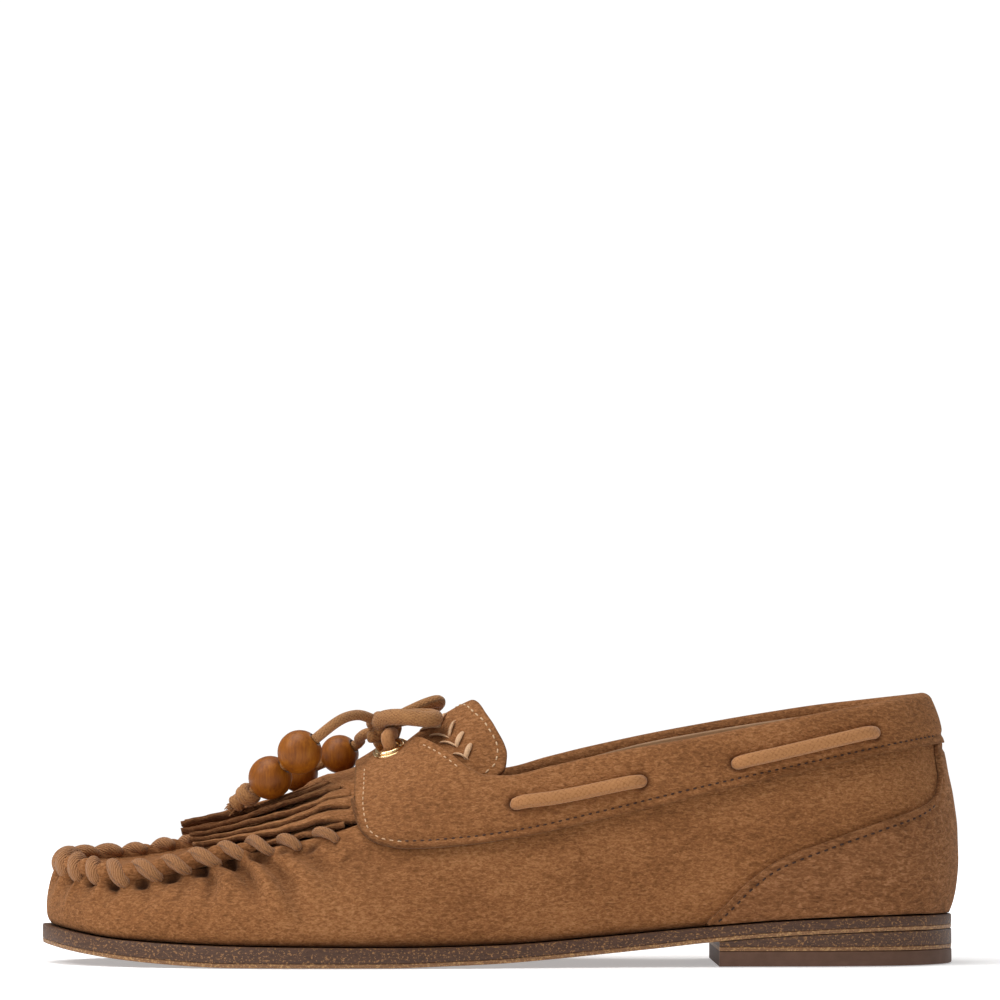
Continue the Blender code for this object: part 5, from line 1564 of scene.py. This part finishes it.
# %% Tongue stitches
TONGUE_SEW_IN = 3.2
tongue_tree = looked_at(tongue)
edge_points = tongue_grid[4:-4, -1]
edge_next = tongue_grid[4:-4, -5]
inward = edge_next - edge_points
inward /= np.linalg.norm(inward, axis=1, keepdims=True)
edge_row, edge_normals = [], []
for point in edge_points + inward * TONGUE_SEW_IN:
    hit, normal, _, _ = tongue_tree.find_nearest(Vector(point))
    edge_row.append(hit)
    edge_normals.append(normal if normal.z > 0 else -normal)
tongue_row = bars(np.array(edge_row), np.array(edge_normals), 1.5, 1.1, 0.24)
cord_piece("tongue_edge_stitches", tongue_row, [THREAD_LIGHT], slot="cord")

RAFFIA_BARS = [  # middle (x, z), half length, slope of the bar in degrees
    ((-16.3, 68.9), 2.6, 66), ((-13.6, 66.2), 2.5, 72), ((-11.3, 63.3), 2.6, 66),
    ((-8.9, 59.9), 2.6, 70), ((-19.9, 66.2), 3.1, 10), ((-17.1, 63.9), 3.0, -6),
    ((-14.4, 61.6), 2.8, -14), ((-10.9, 58.2), 2.6, -20),
]
raffia = []
for hand in (-1.0, 1.0):
    for (x, z), half, slope in RAFFIA_BARS:
        dx, dz = math.cos(math.radians(slope)) * half, math.sin(math.radians(slope)) * half
        line = [(x - dx, z - dz), (x, z + (0.35 if slope < 20 else 0.0)), (x + dx, z + dz)]
        points, normals = seen_from_side(tongue_tree, line, hand, 0.35)
        if len(points) < 5:
            continue
        rise = np.sin(np.linspace(0.0, math.pi, len(points))) ** 0.5 - 0.35
        path = points + normals * rise[:, None]
        width = (0.85 if slope > 20 else 0.6) * np.sin(np.linspace(0.12, math.pi - 0.12, len(path))) ** 0.35
        raffia.append(tube_mesh(path, width, 12, plies=4, lay_mm=30.0, groove=0.22, flat=0.62))
cord_piece("raffia_stitches", raffia, [RAFFIA], slot="cord")
print(len(raffia), "raffia stitches")

# %% [markdown]
# ## Inside the shoe
# The inside is lined with thin, smooth leather with the grain side out, a shade paler than the
# suede. The foot stands on a padded sock of the same leather.

# %% Lining leather
PEBBLE = 1.1
LINING, tree, shader = new_material("smooth_lining_leather", Roughness=0.58, IOR=1.5,
                                    Specular_IOR_Level=0.4)
pores = noise(tree, place_of(tree), 0.8, 3.0, 0.6)
clouds = noise(tree, place_of(tree), 20.0, 3.0)
pebble = add(tree, "ShaderNodeTexVoronoi", {"Vector": place_of(tree), "Scale": 1.0 / (PEBBLE * MM)})
tone = weighted(tree, (levels(tree, clouds, 0.3, 0.7), 0.6), (levels(tree, pores, 0.3, 0.7), 0.4))
lining_colour = ramp(tree, tone, [(0.0, "#a27750"), (0.5, "#b58a60"), (1.0, "#c49a70")])
tree.links.new(shaded(tree, lining_colour, "#4a2d18"), shader.inputs["Base Color"])
tree.links.new(bumped(tree, pebble.outputs["Distance"], 0.06, 0.5), shader.inputs["Normal"])

FOAM, tree, shader = new_material("open_cell_foam", Roughness=0.95, IOR=1.45, Specular_IOR_Level=0.15)
tree.links.new(ramp(tree, noise(tree, place_of(tree), 0.6, 2.0), [(0.3, "#c9bda3"), (0.7, "#e3d9c3")]),
               shader.inputs["Base Color"])

# %% [markdown]
# The linings are skins inside the last: one in the vamp, one in each quarter, one over the foam of
# each collar, and a suede grip at the heel. They stop just short of the sock.

# %% Linings and sock
LINING_THICK = 0.7
ABOVE_SOLE = 4.4  # the linings end this far above the sole's top


def lining_panel(name, rows, low, high, offset, stands_for):
    """A lining laid inside the last between two lines; its good face looks into the shoe."""
    v = low[:, None] + (high - low)[:, None] * np.linspace(0.0, 1.0, 30)
    grid = surface(rows[:, None], v, np.broadcast_to(np.reshape(offset, (-1, 1)), v.shape))
    skin(name, grid, LINING_THICK, [LINING], edge_shade(grid, 2.0, 0.25), slot="lining",
         stands_for=stands_for)


def rows_from_heel(medial, front_x, count):
    """Ribs of one side, from the heel to where the topline is at front_x, in rising order of u."""
    last = float(rib_where(medial, front_x, TOPLINE))
    return np.linspace(last, ROWS - 0.03, count) if medial else np.linspace(0.03, last, count)


VAMP_LINING_IN = -4.6
COLLAR_FRONT_X = -8.0
FOAM_FRONT_X = 2.0
COLLAR_FOAM = 2.9
vamp_rows = np.linspace(8.5, ROWS - 8.5, 160)
low = v_at_height(vamp_rows, ABOVE_SOLE)
v = low[:, None] + (1.0 - low)[:, None] * np.linspace(0.0, 1.0, 40)
vamp_lining = flattened(surface(vamp_rows[:, None], v, VAMP_LINING_IN))
vamp_lining[..., 2] -= 1.2 * np.clip((PLUG_FLAT_FROM - vamp_lining[..., 0]) / 10.0, 0.0, 1.0)
skin("vamp_lining_leather", vamp_lining, LINING_THICK, [LINING], edge_shade(vamp_lining, 2.0, 0.25),
     slot="lining", stands_for=["vamp_lining"])
for side, start, end in (("lateral", 0.03, 8.1), ("medial", ROWS - 8.1, ROWS - 0.03)):
    rows = np.linspace(start, end, 150)
    from_heel = np.minimum(rows, ROWS - rows)
    offset = -3.4 + 1.4 * np.clip((from_heel - 3.0) / 0.8, 0.0, 1.0)
    lining_panel("quarter_lining_" + side + "_leather", rows, v_at_height(rows, ABOVE_SOLE),
                 v_at(rows, WRAP_TOP, -1.6), offset, ["quarter_lining_" + side])
    medial = side == "medial"
    rows = rows_from_heel(medial, COLLAR_FRONT_X, 130)
    top = up_the_rib(rows, v_at(rows, TOPLINE), -2.2)
    low = v_at(rows, LACE_LINE, -4.5)
    v = low[:, None] + (top - low)[:, None] * np.linspace(0.0, 1.0, 26)
    bulge = -4.2 - 0.5 * np.sin(math.pi * np.linspace(0.0, 1.0, 26)) ** 0.6
    grid = surface(rows[:, None], v, np.broadcast_to(bulge, v.shape))
    skin("collar_lining_" + side + "_leather", grid, LINING_THICK, [LINING],
         edge_shade(grid, 1.6, 0.35, (0, 0, 1, 1)), slot="lining", stands_for=["collar_lining_" + side])
    rows = rows_from_heel(medial, FOAM_FRONT_X, 120)
    foam_top = up_the_rib(rows, v_at(rows, TOPLINE), -3.4)
    foam_low = v_at(rows, LACE_LINE, 2.2)
    v = foam_low[:, None] + (foam_top - foam_low)[:, None] * np.linspace(0.0, 1.0, 8)
    strip = skin("collar_foam_" + side + "_strip", surface(rows[:, None], v, -0.5), COLLAR_FOAM, [FOAM],
                 None, slot="foam", stands_for=["collar_foam_" + side])
rows = np.linspace(-2.4, 2.4, 90)
lining_panel("heel_grip_suede", rows, v_at_height(rows, 10.0), v_at(rows, BAND_BOTTOM, -3.0), -4.6,
             ["heel_grip"])


def slab_mesh(rings, lateral_rows, medial_rows):
    """A flat piece with the sole's outline: rings of (inset, height function) from the top down."""
    count = len(lateral_rows)
    points = []
    for inset, height in rings:
        for rows in (lateral_rows, medial_rows):
            plan = sole_edge(rows, inset)[0]
            points.append(np.column_stack([plan, height(plan[:, 0])]))
    points = np.concatenate(points)
    i = np.arange(count - 1)
    last = (len(rings) - 1) * 2 * count
    faces = [np.column_stack([i, count + i, count + i + 1, i + 1]),
             np.column_stack([last + i + 1, last + count + i + 1, last + count + i, last + i])]
    for ring in range(len(rings) - 1):
        for part, order in ((0, 1), (1, -1)):
            a = (ring * 2 + part) * count + i
            faces.append(np.column_stack([a, a + 1, a + 1 + 2 * count, a + 2 * count])[:, ::order])
        for end in (0, count - 1):
            a = ring * 2 * count + end
            order = -1 if end else 1
            faces.append(np.array([[a, a + 2 * count, a + 3 * count, a + count][::order]]))
    faces = np.concatenate(faces)
    spread = np.cross(points[faces[:, 2]] - points[faces[:, 0]], points[faces[:, 3]] - points[faces[:, 1]])
    return points, faces[np.linalg.norm(spread, axis=1) > 1e-5]


def above(x_heights, lift):
    """Height function: a line of the sole plus lift."""
    return lambda x: smooth(x_heights, x) + lift


def level(height):
    """Height function: the same height everywhere."""
    return lambda x: np.full(len(x), height)


FINE_ROWS = np.concatenate([np.linspace(0.0, 0.9, 24), np.linspace(1.0, 11.9, 190),
                            np.linspace(12.0, 13.0, 30)])
WHOLE = (FINE_ROWS, ROWS - FINE_ROWS)
HARD_EDGE = 35.0  # degrees: sharper edges than this stay crisp


def slab_piece(name, rings, rows, materials, **rest):
    """A slab as a piece, with its hard edges kept."""
    points, faces = slab_mesh(rings, *rows)
    piece = mesh_piece(name, points, faces.tolist(), materials, **rest)
    faces_out(piece, HARD_EDGE)
    return piece


SOCK_TOP = 7.7
slab_piece("sock_leather", [(8.2, above(SOLE_TOP, SOCK_TOP)), (6.9, above(SOLE_TOP, SOCK_TOP - 0.3)),
                            (6.6, above(SOLE_TOP, SOCK_TOP - 0.8))], WHOLE, [LINING], slot="lining",
           stands_for=["sock_liner"])
print("lined")

# %% [markdown]
# ## Sole and heel
# The sole is a single leather board stained dark brown. Its edge is cut, sanded and burnished: the
# cut shows the hide's fibres as fine streaks along the edge with paler specks, and a thin pale line
# of unstained leather is left at the lower edge. The heel adds one more layer of the same board and
# a moulded rubber top piece.

# %% Sole materials
def sole_edge_leather(name, dark, middle, speck, speck_share):
    """Burnished cut edge of sole leather, with streaks along it and pale specks."""
    made, tree, shader = new_material(name, Roughness=0.52, IOR=1.5, Specular_IOR_Level=0.42)
    streak = noise(tree, place_of(tree, (0.35, 0.35, 1.6)), 0.9, 4.0, 0.65)
    grit = noise(tree, place_of(tree, (0.7, 0.7, 1.0)), 0.55, 2.0, 0.7)
    colour = ramp(tree, streak, [(0.25, dark), (0.7, middle)])
    colour = mixed(tree, levels(tree, grit, 0.66 - speck_share, 0.74 - speck_share), colour, linear(speck))
    tree.links.new(colour, shader.inputs["Base Color"])
    below = bumped(tree, grit, 0.09, 0.5)
    tree.links.new(bumped(tree, streak, 0.10, 0.6, below), shader.inputs["Normal"])
    return made


EDGE_LEATHER = sole_edge_leather("burnished_sole_edge", "#3b2519", "#573a28", "#94693f", 0.1)
EDGE_PALE = sole_edge_leather("bare_leather_line", "#6f4b30", "#8d643f", "#b48a58", 0.14)
UNDER_LEATHER, tree, shader = new_material("stained_sole_underside", Roughness=0.62, IOR=1.5,
                                           Specular_IOR_Level=0.35)
scuff = noise(tree, place_of(tree, (0.4, 1.0, 1.0)), 6.0, 4.0, 0.6)
tree.links.new(ramp(tree, scuff, [(0.3, "#5a3b26"), (0.7, "#6d4a31")]), shader.inputs["Base Color"])
tree.links.new(bumped(tree, noise(tree, place_of(tree), 0.8, 3.0), 0.06, 0.5), shader.inputs["Normal"])
RUBBER, tree, shader = new_material("moulded_heel_rubber", Roughness=0.62, IOR=1.52, Specular_IOR_Level=0.4)
tree.links.new(ramp(tree, noise(tree, place_of(tree), 4.0, 3.0), [(0.3, "#563a29"), (0.7, "#624434")]),
               shader.inputs["Base Color"])
tree.links.new(bumped(tree, noise(tree, place_of(tree), 0.35, 2.0), 0.04, 0.5), shader.inputs["Normal"])

# %% [markdown]
# Each layer is a slab with the sole's outline, built from rings: how far in from the edge, and how
# high. The small steps between rings round the corners.

# %% Sole and heel layers
HEEL_BREAST = 61.0
TOP_PIECE = 4.2


def heel_rows():
    """Rows of the outline from the heel breast back."""
    fine = np.linspace(1.0, 0.0, 60) ** 1.3
    return outline_row(HEEL_BREAST) * fine, ROWS - outline_row(HEEL_BREAST, True) * fine


HEEL = heel_rows()
PALE_LINE = 1.2
slab_piece("sole_board", [(0.5, above(SOLE_TOP, 0.0)), (0.12, above(SOLE_TOP, -0.12)),
                          (0.0, above(SOLE_TOP, -0.5)), (0.0, above(SOLE_BOTTOM, PALE_LINE + 0.25)),
                          (0.22, above(SOLE_BOTTOM, PALE_LINE + 0.02))],
           WHOLE, [EDGE_LEATHER], slot="sole_leather", stands_for=["outsole"])
slab_piece("sole_lower_edge", [(0.22, above(SOLE_BOTTOM, PALE_LINE)),
                               (0.05, above(SOLE_BOTTOM, PALE_LINE - 0.12)),
                               (0.15, above(SOLE_BOTTOM, 0.12)), (0.9, above(SOLE_BOTTOM, 0.0))],
           WHOLE, [EDGE_PALE], slot="sole_leather")
slab_piece("sole_underside", [(0.95, above(SOLE_BOTTOM, 0.2)), (1.0, above(SOLE_BOTTOM, -0.03))],
           WHOLE, [UNDER_LEATHER], slot="sole_leather")
slab_piece("heel_lift_board", [(0.25, above(SOLE_BOTTOM, -0.12)), (0.0, above(SOLE_BOTTOM, -0.35)),
                               (0.0, level(TOP_PIECE + PALE_LINE + 0.15)),
                               (0.2, level(TOP_PIECE + PALE_LINE))],
           HEEL, [EDGE_LEATHER], slot="sole_leather", stands_for=["heel_lift"])
slab_piece("heel_lift_lower_edge", [(0.2, level(TOP_PIECE + PALE_LINE)),
                                    (0.05, level(TOP_PIECE + PALE_LINE - 0.15)),
                                    (0.1, level(TOP_PIECE + 0.12))],
           HEEL, [EDGE_PALE], slot="sole_leather")
slab_piece("heel_top_rubber", [(0.35, level(TOP_PIECE + 0.05)), (0.05, level(TOP_PIECE - 0.25)),
                               (0.0, level(TOP_PIECE - 0.6)), (0.0, level(0.5)), (0.15, level(0.12)),
                               (0.5, level(0.0))],
           HEEL, [RUBBER], slot="rubber", stands_for=["heel_top_piece"])
print("sole and heel laid")

# %% [markdown]
# ## What stays as it is
# The pieces inside the bottom are plain in the real shoe too. They keep the frame's shape and only
# get their materials.

# %% Inner pieces that stay as the frame has them
BOARD, tree, shader = new_material("pressed_fibre_board", Roughness=0.9, IOR=1.5, Specular_IOR_Level=0.2)
tree.links.new(ramp(tree, noise(tree, place_of(tree), 1.5, 3.0), [(0.3, "#9b8464"), (0.7, "#b8a27f")]),
               shader.inputs["Base Color"])
STEEL, tree, shader = new_material("rolled_shank_steel", Base_Color=linear("#9a9a98"), Metallic=1.0,
                                   Roughness=0.38)
rolled = noise(tree, place_of(tree, (0.1, 1.0, 1.0)), 0.5, 2.0)
tree.links.new(bumped(tree, rolled, 0.02, 0.4), shader.inputs["Normal"])
INNER = {"insole_board": BOARD, "bottom_filler": BOARD, "heel_counter": BOARD, "footbed_foam": FOAM,
         "shank": STEEL}
for node, finish in INNER.items():
    mesh = frame["nodes"][node].data
    for k in range(max(len(mesh.materials), 1)):
        if len(mesh.materials):
            mesh.materials[k] = finish
        else:
            mesh.materials.append(finish)
print("inner pieces:", ", ".join(INNER))
